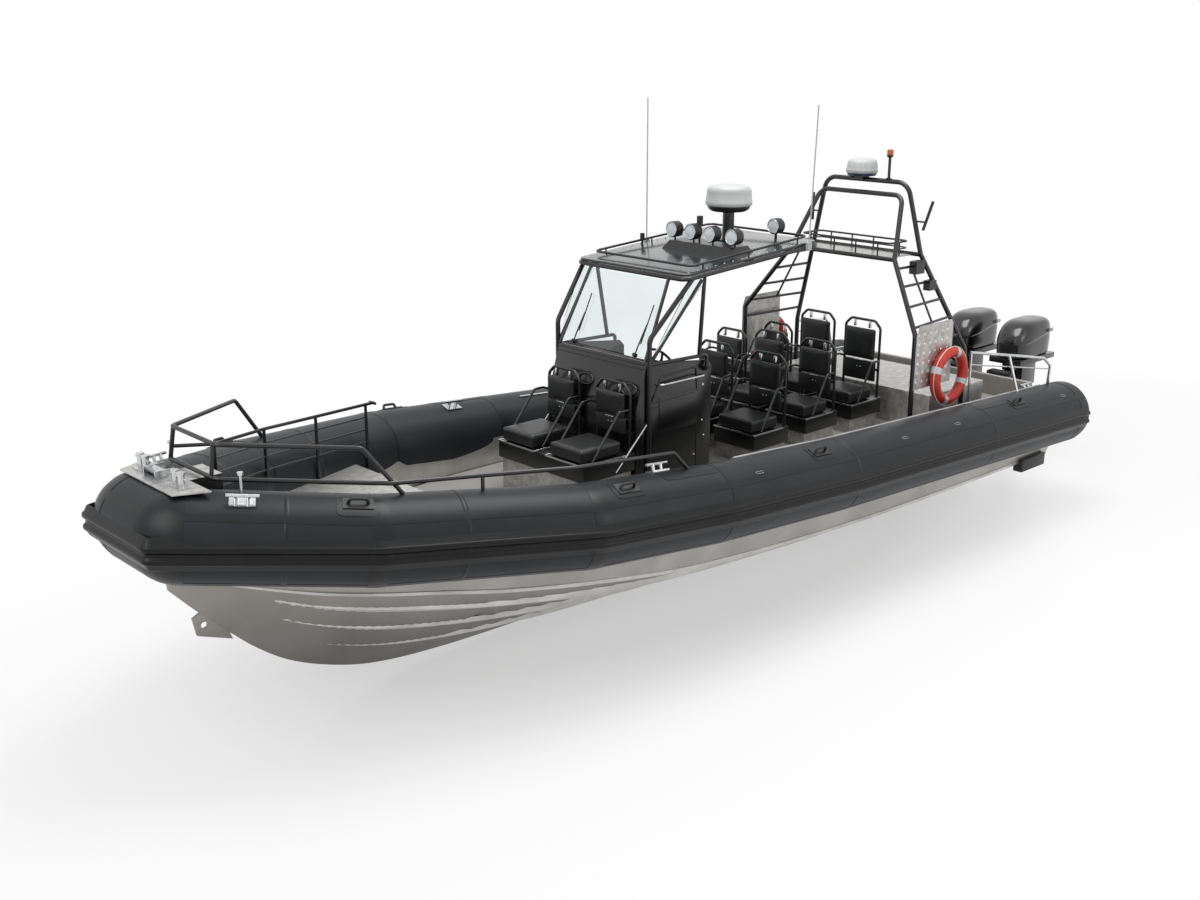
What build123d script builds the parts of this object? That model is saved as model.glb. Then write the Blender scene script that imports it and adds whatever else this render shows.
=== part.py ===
from build123d import *
import os
from math import atan2, cos, degrees, hypot, radians, sin, sqrt

# An eleven metre rigid inflatable boat: aluminium hull, inflated collar, canopied console,
# ten seats, an aft arch and twin outboards on set-back brackets.
# Millimetres. X runs forward from the stern ends of the tubes, Y to port and Z up from the waterline.

# Inflated collar
TUBE_RADIUS = 360
TUBE_BASE_Z = 384
SHEER_START_X = -2400
SHEER_END_X = 11000
SHEER_RISE = 763
STERN_CONE_LENGTH = 110
STERN_CONE_RADIUS = 265
# Corners of the rubbing strake in plan: distance forward, half breadth
STRAKE_CORNERS = [
    (0, 2018),
    (4490, 2018),
    (6230, 2018),
    (7750, 1923),
    (9523, 1365),
    (11000, 538),
]
STRAKE_STANDOFF = 25
RIDGE_RADIUS = 25
RIDGE_PITCH = 95
PATCH_THICKNESS = 6

# Hull stations, stern to stem: x, keel z, chine y, chine z, side y, side z, top y, top z
HULL_STATIONS = [
    (0, -680, 1490, -160, 1600, 110, 1275, 432),
    (3750, -690, 1500, -105, 1600, 215, 1275, 432),
    (6200, -690, 1480, 45, 1590, 330, 1275, 432),
    (7330, -680, 1390, 180, 1510, 440, 1230, 432),
    (8200, -645, 1205, 290, 1330, 520, 1060, 432),
    (8800, -575, 985, 375, 1130, 580, 930, 620),
    (9200, -465, 815, 425, 990, 620, 830, 680),
    (9600, -290, 630, 490, 830, 670, 660, 740),
    (9900, -80, 440, 550, 660, 720, 500, 790),
    (10190, 190, 250, 620, 480, 770, 340, 840),
    (10400, 400, 140, 690, 330, 800, 230, 870),
    (10600, 620, 50, 750, 150, 830, 90, 890),
]
RAIL_SHARES = (0.82, 0.56, 0.30)
RAIL_WIDTH = 60
RAIL_DEPTH = 34
RAIL_START_X = 300
RAIL_END_X = (9900, 9600, 9200)

# Deck and inner linings
DECK_Z = 450
DECK_THICKNESS = 18
DECK_CORNERS = [(30, 1255), (6900, 1255), (7500, 1190), (8195, 1050)]
LINING_CORNERS = [(300, 1262), (6900, 1262), (7500, 1215), (8195, 1064)]
LINING_THICKNESS = 10
BOW_STEP_CORNERS = [(8230, 1300), (9300, 960), (10300, 420)]
BOW_STEP_TOP_Z = 900

# Stern and outboards
TRANSOM_THICKNESS = 60
TRANSOM_HALF_WIDTH = 1240
TRANSOM_TOP_Z = 700
ENGINE_Y = 390
POD_LENGTH = 640
POD_WIDTH = 420
POD_BOTTOM_Z = 60
POD_TOP_Z = 500
CHEEK_SPACING = 150
CHEEK_THICKNESS = 28
TILT_AXIS_X = -720
TILT_AXIS_Z = 540
STEER_AXIS_X = -910
PIN_RADIUS = 18
POST_RADIUS = 30
SHAFT_RADIUS = 15
RUNNING_GAP = 0.08
COLUMN_RADIUS = 52
COWL_FRONT_X = -780
COWL_LENGTH = 860
COWL_WIDTH = 470
COWL_BASE_Z = 720
COWL_TOP_Z = 1190
COWL_WALL = 20
PROP_Z = -440
PROP_RADIUS = 200
PROP_HUB_RADIUS = 55
PROP_HUB_LENGTH = 150
GEARCASE_RADIUS = 68
GEARCASE_LENGTH = 560
GEARCASE_AFT_X = -1270
CAVITATION_Z = -200
APRON_FOOT_Z = 330

# Bow plate and its bollards
BOW_PLATE_X = 10565
BOW_PLATE_Z = 1520
BITT_Y = 290

# Towing bracket
BOW_EYE_X = 10335
BOW_EYE_Z = 250
BOW_EYE_RADIUS = 28
BOW_EYE_THICKNESS = 24

# Console
CONSOLE_HALF_WIDTH = 620
CONSOLE_FRONT_X = 6160
CONSOLE_REAR_X = 5130
CONSOLE_WALL = 12
CONSOLE_KNEE_Z = 1350
SCREEN_FOOT_X = 6030
SCREEN_FOOT_Z = 1790
CONSOLE_REAR_TOP_Z = 1690
SHELF_Z = 1400
SHELF_THICKNESS = 20
PANE_THICKNESS = 8
HELM_PLANE = Plane(origin=(5455, 250, 1640), z_dir=(-1, 0, 0.6))

# Canopy
ROOF_FRONT_X = 5660
ROOF_REAR_X = 3700
ROOF_HALF_WIDTH = 750
ROOF_FRONT_Z = 2540
ROOF_REAR_Z = 2680
ROOF_THICKNESS = 24
ROOF_TUBE = 44
FRAME_TUBE = 48
SCREEN_TUBE = 34
REAR_POST_X = 5400
BEND = 90

# Seats: x of the backrest hoop, y, cushion top z, hoop top z, cushion width, cushion depth
SEATS = [
    (6200, -350, 1080, 1610, 470, 530),
    (6200, 350, 1080, 1610, 470, 530),
    (3960, -370, 920, 1535, 500, 420),
    (3960, 370, 920, 1535, 500, 420),
    (3070, -330, 920, 1535, 500, 420),
    (3070, 330, 920, 1535, 500, 420),
    (3070, -930, 920, 1470, 460, 420),
    (2250, -320, 920, 1660, 500, 420),
    (2250, 320, 920, 1660, 500, 420),
    (2250, -910, 920, 1430, 440, 420),
]
CUSHION_THICKNESS = 140
CUSHION_SETBACK = 100
SEAT_GAP = 0.3
SEAT_TUBE = 30
HOOP_MARGIN = 12
HOOP_SHOULDER = 75
BACK_THICKNESS = 55
BOX_HEIGHT = 170
BOX_OVERHANG = 30
ARM_RISE = 290

FRONT_ROW_X = 6200

# Aft arch
ARCH_TUBE = 54
RUNG_TUBE = 30
ARCH_FOOT_Y = 1205
ARCH_HOOP_Z = 3190
ARCH_HOOP_X = 1900
ARCH_REAR_FOOT_X = 1530
SHELF_FRONT_X = 2300
SHELF_REAR_X = 1850
SHELF_BAR = ARCH_TUBE * 0.9
SHELF_BAR_IN = 4
RADAR_BASE_Z = 3000

# Rails
RAIL_TUBE = 36
POST_TUBE = 30
BAR_TUBE = 16
# Posts of the bow guard: x, z of the rail on it, z of the floor below
GUARD_POSTS = [
    (10007, 1625, 900),
    (9346, 1535, 900),
    (8729, 1488, 900),
    (8071, 1439, 450),
]

# Handles, cleats and grab points on the tubes: distance forward
HANDLE_X = (1320, 4880, 7360, 9500)
HANDLE_ANGLE = 24
CLEATS = [(420, -38), (6780, -20), (10230, 27)]
CLEAT_POST_X = 10210

# Lamps on their raised base, and the low rack round the roof
LAMP_Y = (-270, -10, 250, 540)
LAMP_BAR_X = 4750
LAMP_SIZE = 125
LAMP_BASE_LENGTH = 380
LAMP_BASE_WIDTH = 980
LAMP_BASE_HEIGHT = 80
RACK_FRONT_X = 5500
RACK_REAR_X = 3780
RACK_HALF_WIDTH = 670
RACK_LIFT = 45

# Lifebuoys
LIFEBUOY_MAJOR = 270
LIFEBUOY_MINOR = 60
LIFEBUOY_CENTRE = (1960, 1110)

nodes = {}


def sheer_z(x):
    """Height of the tube's centre above the waterline."""
    along = (x - SHEER_START_X) / (SHEER_END_X - SHEER_START_X)
    return TUBE_BASE_Z + SHEER_RISE * along ** 2


def inset(corners, distance):
    """Port side corners moved inboard by a distance, with the mitre at the transverse bow last."""
    ends = list(corners) + [(corners[-1][0], -corners[-1][1])]
    lines = []
    for (x0, y0), (x1, y1) in zip(ends, ends[1:]):
        run = hypot(x1 - x0, y1 - y0)
        ux, uy = (x1 - x0) / run, (y1 - y0) / run
        lines.append((x0 + uy * distance, y0 - ux * distance, ux, uy))
    moved = [lines[0][:2]]
    for (ax, ay, ux, uy), (bx, by, vx, vy) in zip(lines, lines[1:]):
        turn = ux * vy - uy * vx
        if abs(turn) < 1e-9:
            moved.append((bx, by))
        else:
            along = ((bx - ax) * vy - (by - ay) * vx) / turn
            moved.append((ax + along * ux, ay + along * uy))
    return moved


def collar_path(distance, lift=0):
    """Corners of a line round the whole collar, starboard stern to port stern."""
    port = [(x, y, sheer_z(corner_x) + lift)
            for (x, y), (corner_x, _) in zip(inset(STRAKE_CORNERS, distance), STRAKE_CORNERS)]
    starboard = [(x, -y, z) for x, y, z in port]
    return starboard + port[::-1]


def tube_centre(x):
    """Centre of the port tube at a distance forward."""
    centre = collar_path(TUBE_RADIUS + STRAKE_STANDOFF)[:len(STRAKE_CORNERS)]
    for (xa, ya, za), (xb, yb, zb) in zip(centre, centre[1:]):
        if xa <= x <= xb:
            share = (x - xa) / (xb - xa)
            return -(ya + (yb - ya) * share), za + (zb - za) * share
    return -centre[-1][1], centre[-1][2]


def on_tube(x, inboard=0):
    """A point on the upper surface of the port tube, some way inboard of its centre line."""
    y, z = tube_centre(x)
    return x, y - inboard, z + sqrt(TUBE_RADIUS ** 2 - inboard ** 2)


def pipe(points, diameter, bend=BEND):
    """A round bar along straight runs, with bends of one radius."""
    if len(points) > 2 and bend:
        path = FilletPolyline(*points, radius=bend)
    else:
        path = Polyline(*points)
    return sweep(Plane(origin=path @ 0, z_dir=path % 0) * Circle(diameter / 2), path=path)


def port(points):
    """The same points on the other side of the boat."""
    return [(x, -y, z) for x, y, z in points]


def both_sides(shape):
    """The shape and its mirror image on the other side of the boat."""
    return [shape, mirror(shape, about=Plane.XZ)]


def block(x0, x1, y0, y1, z0, z1):
    """A box between two corners."""
    return Pos((x0 + x1) / 2, (y0 + y1) / 2, (z0 + z1) / 2) * Box(abs(x1 - x0), abs(y1 - y0), abs(z1 - z0))


def upright(x, y, z0, z1, radius):
    """A vertical cylinder."""
    return Pos(x, y, (z0 + z1) / 2) * Cylinder(radius, z1 - z0)


def across(x, y, z, radius, length):
    """A cylinder along Y."""
    return Pos(x, y, z) * Rot(90, 0, 0) * Cylinder(radius, length)


def forward(x, y, z, radius, length):
    """A cylinder along X."""
    return Pos(x, y, z) * Rot(0, 90, 0) * Cylinder(radius, length)


def side_profile(points, y0, y1):
    """A solid with an outline in the fore-and-aft plane and faces at two distances to port."""
    return Pos(0, y1, 0) * extrude(Plane.XZ * make_face(Polyline(*points, close=True)), y1 - y0)


def fused(shapes):
    """One solid from pieces that overlap."""
    body = shapes[0]
    for other in shapes[1:]:
        body = body + other
    return body


def as_one(shapes):
    """Several solids that don't touch, kept in one node."""
    return Compound(children=[s for shape in shapes for s in shape.solids()])


def keep(name, shape):
    """Write one node."""
    export_step(shape, f"parts/{name}.step")
    nodes[name] = shape


def tube_collar():
    """The inflated tube: one mitred sleeve round the bow with blunt stern cones."""
    centre = collar_path(TUBE_RADIUS + STRAKE_STANDOFF)
    path = Polyline(*centre)
    sleeve = sweep(Plane(origin=path @ 0, z_dir=path % 0) * Circle(TUBE_RADIUS), path=path,
                   transition=Transition.RIGHT)
    cones = [Plane(origin=end, z_dir=(-1, 0, 0)) * Pos(0, 0, STERN_CONE_LENGTH / 2)
             * Cone(TUBE_RADIUS, STERN_CONE_RADIUS, STERN_CONE_LENGTH) for end in (centre[0], centre[-1])]
    return fused([sleeve] + cones)


def rub_strake(collar):
    """Two round ridges with a flat web between them, glued round the outside of the tube."""
    bars = []
    for lift in (-RIDGE_PITCH / 2, RIDGE_PITCH / 2):
        path = Polyline(*collar_path(STRAKE_STANDOFF, lift))
        bars.append(sweep(Plane(origin=path @ 0, z_dir=path % 0) * Circle(RIDGE_RADIUS), path=path,
                          transition=Transition.RIGHT))
    web_path = Polyline(*collar_path(STRAKE_STANDOFF + 6))
    web = sweep(Plane(origin=web_path @ 0, z_dir=web_path % 0, x_dir=(0, 1, 0))
                * Rectangle(24, RIDGE_PITCH), path=web_path, transition=Transition.RIGHT)
    return fused(bars + [web]) - collar


def hull_section(station):
    """One closed section of the hull."""
    x, keel_z, chine_y, chine_z, side_y, side_z, top_y, top_z = station
    half = [(0, keel_z), (chine_y, chine_z), (side_y, side_z), (top_y, top_z)]
    ring = half + [(-y, z) for y, z in reversed(half[1:])]
    return Wire.make_polygon([Vector(x, y, z) for y, z in ring], close=True)


def hull(collar):
    """Deep vee hull below the tube, cut away where the tube lies in it."""
    return Solid.make_loft([hull_section(s) for s in HULL_STATIONS], ruled=True) - collar


def station_at(x):
    """A hull station between the listed ones."""
    for a, b in zip(HULL_STATIONS, HULL_STATIONS[1:]):
        if a[0] <= x <= b[0]:
            share = (x - a[0]) / (b[0] - a[0])
            return tuple(p + (q - p) * share for p, q in zip(a, b))
    return HULL_STATIONS[-1]


def spray_rails(hull_body):
    """Lifting strakes along the bottom, wedges that taper out at the bow."""
    rails = []
    for share, end_x in zip(RAIL_SHARES, RAIL_END_X):
        stops = [RAIL_START_X] + [s[0] for s in HULL_STATIONS if RAIL_START_X < s[0] < end_x] + [end_x]
        wires = []
        for x in stops:
            _, keel_z, chine_y, chine_z = station_at(x)[:4]
            slope = (chine_z - keel_z) / chine_y
            y = chine_y * share
            z = keel_z + slope * y
            taper = 0.35 if x == end_x else 1.0
            width = min(RAIL_WIDTH * taper, y / 2)
            down = RAIL_DEPTH * taper / 3
            ring = [(y, z + 30), (y, z - down), (y - 4, z - down),
                    (y - width, z - slope * width + 1), (y - width, z - slope * width + 30)]
            wires.append(Wire.make_polygon([Vector(x, a, b) for a, b in ring], close=True))
        rails.append(Solid.make_loft(wires, ruled=True) - hull_body)
    return as_one([s for rail in rails for s in both_sides(rail)])


def plan_plate(corners, z0, z1):
    """A level plate with port side corners and their mirror."""
    ring = list(corners) + [(x, -y) for x, y in reversed(corners)]
    return Pos(0, 0, z0) * extrude(make_face(Polyline(*ring, close=True)), z1 - z0)


def deck():
    """The working deck between the tubes."""
    return plan_plate(DECK_CORNERS, DECK_Z - DECK_THICKNESS, DECK_Z)


def bow_step(collar, hull_body):
    """The raised anchor locker ahead of the deck."""
    step = plan_plate(BOW_STEP_CORNERS, DECK_Z - DECK_THICKNESS, BOW_STEP_TOP_Z) - collar - hull_body
    return max(step.solids(), key=lambda s: s.volume)


def side_linings(collar, hull_body, deck_plate):
    """Aluminium linings between the deck and the tube's inner side."""
    plates = []
    for (xa, ya), (xb, yb) in zip(LINING_CORNERS, LINING_CORNERS[1:]):
        wires = []
        for x, y in ((xa, ya), (xb, yb)):
            top = sheer_z(x)
            ring = [(y, DECK_Z), (y + LINING_THICKNESS, DECK_Z), (y + LINING_THICKNESS, top), (y, top)]
            wires.append(Wire.make_polygon([Vector(x, a, b) for a, b in ring], close=True))
        plates.append(Solid.make_loft(wires, ruled=True))
    lining = fused(plates) - collar - hull_body - deck_plate
    return as_one([s for piece in lining.solids() if piece.volume > 1e5 for s in both_sides(piece)])


def transom(collar):
    """Transom plate across the stern."""
    return block(0, TRANSOM_THICKNESS, -TRANSOM_HALF_WIDTH, TRANSOM_HALF_WIDTH, DECK_Z, TRANSOM_TOP_Z) - collar


def engine_pods():
    """Box brackets that set the engines back from the hull."""
    outline = [(0, POD_BOTTOM_Z), (0, POD_TOP_Z), (-POD_LENGTH, POD_TOP_Z), (-POD_LENGTH, POD_BOTTOM_Z + 70),
               (-POD_LENGTH + 140, POD_BOTTOM_Z)]
    return as_one([side_profile(outline, y - POD_WIDTH / 2, y + POD_WIDTH / 2) for y in (-ENGINE_Y, ENGINE_Y)])


def engine_brackets():
    """Clamp brackets: two cheeks and a tilt pin on each pod."""
    clamps = []
    for y in (-ENGINE_Y, ENGINE_Y):
        cheeks = [block(TILT_AXIS_X - 50, -POD_LENGTH, y + side * CHEEK_SPACING - CHEEK_THICKNESS / 2,
                        y + side * CHEEK_SPACING + CHEEK_THICKNESS / 2, TILT_AXIS_Z - 400, TILT_AXIS_Z + 25)
                  for side in (-1, 1)]
        pin = across(TILT_AXIS_X, y, TILT_AXIS_Z, PIN_RADIUS, 2 * CHEEK_SPACING)
        clamps.append(fused(cheeks + [pin]))
    return as_one(clamps)


def swivel(y):
    """Swivel bracket that tilts on the pin and carries the steering column."""
    column_z = TILT_AXIS_Z - 220
    width = 2 * CHEEK_SPACING - CHEEK_THICKNESS - 20
    body = fused([
        across(TILT_AXIS_X, y, TILT_AXIS_Z, 42, width),
        upright(STEER_AXIS_X, y, column_z - 200, column_z + 200, COLUMN_RADIUS),
        block(STEER_AXIS_X, TILT_AXIS_X, y - 55, y + 55, TILT_AXIS_Z - 70, TILT_AXIS_Z - 22),
    ])
    pin_hole = across(TILT_AXIS_X, y, TILT_AXIS_Z, PIN_RADIUS + RUNNING_GAP, width + 40)
    post_hole = upright(STEER_AXIS_X, y, column_z - 260, column_z + 260, POST_RADIUS + RUNNING_GAP)
    return body - pin_hole - post_hole


def engine_leg(y):
    """Steering post, midsection, cavitation plate, gearcase and skeg."""
    column_top = TILT_AXIS_Z - 20
    column_foot = TILT_AXIS_Z - 420
    tray_rear = COWL_FRONT_X - COWL_LENGTH + 6
    pieces = [
        upright(STEER_AXIS_X, y, column_foot - 60, column_top + 60, POST_RADIUS),
        block(STEER_AXIS_X - 200, STEER_AXIS_X + 50, y - 75, y + 75, column_top + 30, COWL_BASE_Z - 30),
        block(tray_rear, COWL_FRONT_X - 6, y - COWL_WIDTH / 2 + 6, y + COWL_WIDTH / 2 - 6,
              COWL_BASE_Z - 70, COWL_BASE_Z),
        block(STEER_AXIS_X - 340, STEER_AXIS_X - 80, y - 75, y + 75, CAVITATION_Z, COWL_BASE_Z - 40),
        block(STEER_AXIS_X - 430, STEER_AXIS_X - 100, y - 135, y + 135, APRON_FOOT_Z, COWL_BASE_Z - 60),
        block(STEER_AXIS_X - 120, STEER_AXIS_X + 45, y - 60, y + 60, column_foot - 110, column_foot - 10),
        block(STEER_AXIS_X - 470, STEER_AXIS_X - 60, y - 130, y + 130, CAVITATION_Z - 6, CAVITATION_Z + 6),
        block(STEER_AXIS_X - 300, STEER_AXIS_X - 100, y - 30, y + 30, PROP_Z, CAVITATION_Z),
        forward(GEARCASE_AFT_X + GEARCASE_LENGTH / 2, y, PROP_Z, GEARCASE_RADIUS, GEARCASE_LENGTH),
        block(STEER_AXIS_X - 300, STEER_AXIS_X - 80, y - 8, y + 8, PROP_Z - 240, PROP_Z),
        forward(GEARCASE_AFT_X - 90, y, PROP_Z, SHAFT_RADIUS, 220),
    ]
    return fused(pieces)


def cowl(y):
    """Moulded engine cover, hollow and open below."""
    rear_x = COWL_FRONT_X - COWL_LENGTH

    def shell(gap):
        ring = [
            (COWL_FRONT_X - gap, COWL_BASE_Z),
            (COWL_FRONT_X - 8 - gap, COWL_TOP_Z - 290),
            (COWL_FRONT_X - 70 - gap, COWL_TOP_Z - 140 - gap / 2),
            (COWL_FRONT_X - 210, COWL_TOP_Z - 30 - gap),
            (COWL_FRONT_X - 400, COWL_TOP_Z - gap),
            (rear_x + 210, COWL_TOP_Z - 8 - gap),
            (rear_x + 70 + gap / 2, COWL_TOP_Z - 55 - gap),
            (rear_x + 8 + gap, COWL_TOP_Z - 170 - gap / 2),
            (rear_x + gap, COWL_BASE_Z),
        ]
        return side_profile(ring, y - COWL_WIDTH / 2 + gap, y + COWL_WIDTH / 2 - gap)

    outer = shell(0)
    upper = outer.edges().filter_by(lambda e: e.center().Z > COWL_BASE_Z + 1)
    return fillet(upper, 40) - shell(2 * COWL_WALL)


def powerhead(y):
    """The engine block under the cover."""
    return block(COWL_FRONT_X - COWL_LENGTH + 160, COWL_FRONT_X - 180, y - 150, y + 150,
                 COWL_BASE_Z, COWL_TOP_Z - 110)


def propeller(y):
    """Three bladed propeller on a hub."""
    centre_x = GEARCASE_AFT_X - 10 - PROP_HUB_LENGTH / 2
    pieces = [forward(centre_x, y, PROP_Z, PROP_HUB_RADIUS, PROP_HUB_LENGTH)]
    blade_length = PROP_RADIUS - 30
    for turn in (0, 120, 240):
        blade = Pos(0, 0, 30 + blade_length / 2) * Rot(0, 0, 28) * Box(110, 9, blade_length)
        pieces.append(Pos(centre_x, y, PROP_Z) * Rot(turn, 0, 0) * blade)
    bore = forward(centre_x, y, PROP_Z, SHAFT_RADIUS + RUNNING_GAP, PROP_HUB_LENGTH + 2)
    return fused(pieces) - bore


def console():
    """Console shell: sloping front, sides and a dash shelf, open at the back."""
    outline = [
        (CONSOLE_REAR_X, DECK_Z),
        (CONSOLE_FRONT_X, DECK_Z),
        (CONSOLE_FRONT_X, CONSOLE_KNEE_Z),
        (SCREEN_FOOT_X, SCREEN_FOOT_Z),
        (CONSOLE_REAR_X + 60, CONSOLE_REAR_TOP_Z),
        (CONSOLE_REAR_X, CONSOLE_REAR_TOP_Z - 60),
    ]
    body = side_profile(outline, -CONSOLE_HALF_WIDTH, CONSOLE_HALF_WIDTH)
    inner = CONSOLE_HALF_WIDTH - CONSOLE_WALL
    slope = (CONSOLE_FRONT_X - SCREEN_FOOT_X) / (SCREEN_FOOT_Z - CONSOLE_KNEE_Z)
    wall = 2 * CONSOLE_WALL
    cockpit = [
        (CONSOLE_REAR_X - 10, SHELF_Z + SHELF_THICKNESS),
        (CONSOLE_FRONT_X - wall - slope * (SHELF_Z + SHELF_THICKNESS - CONSOLE_KNEE_Z), SHELF_Z + SHELF_THICKNESS),
        (SCREEN_FOOT_X - wall - slope * 20, SCREEN_FOOT_Z + 20),
        (CONSOLE_REAR_X - 10, SCREEN_FOOT_Z + 20),
    ]
    cupboard = block(CONSOLE_REAR_X + CONSOLE_WALL, CONSOLE_FRONT_X - CONSOLE_WALL, -inner, inner,
                     DECK_Z - 1, CONSOLE_KNEE_Z)
    doorway = block(CONSOLE_REAR_X - 10, CONSOLE_REAR_X + 2 * CONSOLE_WALL, -280, 280, DECK_Z + 80, 1250)
    return body - side_profile(cockpit, -inner, inner) - cupboard - doorway


def dash():
    """Instrument pod on the shelf behind the windscreen."""
    outline = [
        (5500, SHELF_Z + SHELF_THICKNESS),
        (5950, SHELF_Z + SHELF_THICKNESS),
        (5950, SHELF_Z + 300),
        (5760, SHELF_Z + 330),
        (5560, SHELF_Z + 150),
    ]
    return side_profile(outline, -560, 560)


def helm_wheel():
    """Steering wheel with three spokes."""
    pieces = [HELM_PLANE * Torus(165, 13), HELM_PLANE * Pos(0, 0, -18) * Cylinder(30, 60)]
    pieces += [HELM_PLANE * Rot(0, 0, turn) * Pos(85, 0, 0) * Box(160, 22, 10) for turn in (90, 210, 330)]
    return fused(pieces) - HELM_PLANE * Pos(0, 0, -70) * Cylinder(SHAFT_RADIUS + RUNNING_GAP, 200)


def seat_parts():
    """Cushions, backrests, tube frames, boxes and plinths of all the seats."""
    cushions, backs, frames, boxes, plinths = [], [], [], [], []
    for x, y, cushion_z, hoop_z, width, depth in SEATS:
        rear = x + CUSHION_SETBACK
        front = rear + depth
        half = width / 2
        box_top = cushion_z - CUSHION_THICKNESS - SEAT_GAP
        cushion = block(rear, front, y - half, y + half, cushion_z - CUSHION_THICKNESS, cushion_z)
        cushions.append(fillet(cushion.edges(), 25))
        pad_foot = cushion_z + 40
        pad_front = x + SEAT_TUBE / 2 + SEAT_GAP
        back = block(pad_front, pad_front + BACK_THICKNESS, y - half + 28, y + half - 28, pad_foot, hoop_z - 90)
        backs.append(fillet(back.edges(), 20))
        hoop_y = half - HOOP_MARGIN
        top_z = hoop_z - SEAT_TUBE / 2
        pieces = [
            pipe([(x, y - hoop_y, box_top), (x, y - hoop_y, top_z - HOOP_SHOULDER),
                  (x, y - hoop_y + HOOP_SHOULDER, top_z), (x, y + hoop_y - HOOP_SHOULDER, top_z),
                  (x, y + hoop_y, top_z - HOOP_SHOULDER), (x, y + hoop_y, box_top)], SEAT_TUBE, 60),
            pipe([(x, y - hoop_y, pad_foot + 130), (x, y + hoop_y, pad_foot + 130)], SEAT_TUBE),
        ]
        for side in (-1, 1):
            arm_y = y + side * (half + SEAT_TUBE / 2 + 4)
            arm_z = cushion_z + ARM_RISE
            pieces.append(pipe([(x, y + side * hoop_y, arm_z - 20), (x + 60, arm_y, arm_z),
                                (x + 170, arm_y, arm_z), (front - 120, arm_y, box_top + 14)],
                               SEAT_TUBE * 0.8, 35))
        frames.append(fused(pieces))
        box_foot = box_top - BOX_HEIGHT
        side_a, side_b = y - half, y + half
        if x == FRONT_ROW_X:
            side_a, side_b = -abs(y) - half, abs(y) + half
        if x != FRONT_ROW_X or y > 0:
            boxes.append(block(x - 30, front, side_a - BOX_OVERHANG, side_b + BOX_OVERHANG, box_foot, box_top))
            plinths.append(block(x - 10, front - 20, side_a, side_b, DECK_Z, box_foot))
    return cushions, backs, frames, boxes, plinths


def roof_z(x):
    """Height of the canopy's tube ring at a distance forward."""
    return ROOF_FRONT_Z + (ROOF_FRONT_X - x) * (ROOF_REAR_Z - ROOF_FRONT_Z) / (ROOF_FRONT_X - ROOF_REAR_X)


def canopy_frame(console_body):
    """Welded tube frame that carries the roof over the console."""
    w = ROOF_HALF_WIDTH
    half_ring = [(ROOF_FRONT_X, 0, ROOF_FRONT_Z), (ROOF_FRONT_X, w, ROOF_FRONT_Z),
                 (ROOF_REAR_X, w, ROOF_REAR_Z), (ROOF_REAR_X, 0, ROOF_REAR_Z)]
    pieces = both_sides(pipe(half_ring, ROOF_TUBE))
    pieces.append(pipe([(4680, -w, roof_z(4680)), (4680, w, roof_z(4680))], ROOF_TUBE * 0.9))
    for side in (-1, 1):
        y = side * (CONSOLE_HALF_WIDTH + FRAME_TUBE / 2 + SEAT_GAP)
        wide = side * w
        pieces.append(pipe([(6020, y, DECK_Z), (6020, y, 2010), (5560, wide, roof_z(5560))], FRAME_TUBE))
        pieces.append(pipe([(6020, y, 1770), (5230, y, 1750), (5230, y, 1600), (5230, side * 600, 1600)],
                           RAIL_TUBE, 40))
        pieces.append(pipe([(REAR_POST_X - 60, y, 1755), (REAR_POST_X, wide, roof_z(REAR_POST_X))], RAIL_TUBE * 1.1))
        pieces.append(pipe([(6020, y, 1770), (REAR_POST_X + 40, wide, roof_z(REAR_POST_X) - 40)], RAIL_TUBE))
        pieces.append(pipe([(SCREEN_FOOT_X, side * 600, SCREEN_FOOT_Z + 6), (ROOF_FRONT_X, side * 535, ROOF_FRONT_Z)],
                           SCREEN_TUBE))
    return fused(pieces) - console_body


def roof_panel():
    """Flat roof inside the tube ring."""
    rise = ROOF_REAR_Z - ROOF_FRONT_Z
    run = ROOF_FRONT_X - ROOF_REAR_X
    panel = Box(hypot(rise, run), 2 * ROOF_HALF_WIDTH, ROOF_THICKNESS)
    panel = fillet(panel.edges().filter_by(Axis.Z), BEND)
    lift = ROOF_TUBE / 2 + ROOF_THICKNESS / 2 + SEAT_GAP
    centre = Pos((ROOF_FRONT_X + ROOF_REAR_X) / 2, 0, (ROOF_FRONT_Z + ROOF_REAR_Z) / 2)
    return centre * Rot(0, degrees(atan2(rise, run)), 0) * Pos(0, 0, lift) * panel


def windscreen(frame, console_body):
    """Raked pane between the two pillars."""
    run, rise = SCREEN_FOOT_X - ROOF_FRONT_X, ROOF_FRONT_Z - SCREEN_FOOT_Z
    length = hypot(run, rise)
    outline = [(30, -605), (30, 605), (length - 40, 540), (length - 40, -540)]
    plane = Plane(origin=(SCREEN_FOOT_X, 0, SCREEN_FOOT_Z + 6), x_dir=(-run / length, 0, rise / length),
                  z_dir=(rise / length, 0, run / length))
    pane = plane * extrude(make_face(Polyline(*outline, close=True)), PANE_THICKNESS / 2, both=True)
    return max((pane - frame - console_body).solids(), key=lambda s: s.volume)


def side_windows(frame):
    """Three cornered panes between the front legs and the stays."""
    corners = [(5975, 668, 1885), (5575, 752, 2535), (5345, 752, 2545)]
    face = make_face(Polyline(*corners, close=True))
    pane = extrude(face, PANE_THICKNESS / 2, both=True) - frame
    return as_one(both_sides(max(pane.solids(), key=lambda s: s.volume)))


def guard_y(x):
    """Inboard line of the bow guards, just clear of the tube's inner side."""
    (ya, _), (yb, _) = tube_centre(x - 5), tube_centre(x + 5)
    slope = (yb - ya) / 10
    return tube_centre(x)[0] - TUBE_RADIUS * sqrt(1 + slope ** 2) - BAR_TUBE


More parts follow.
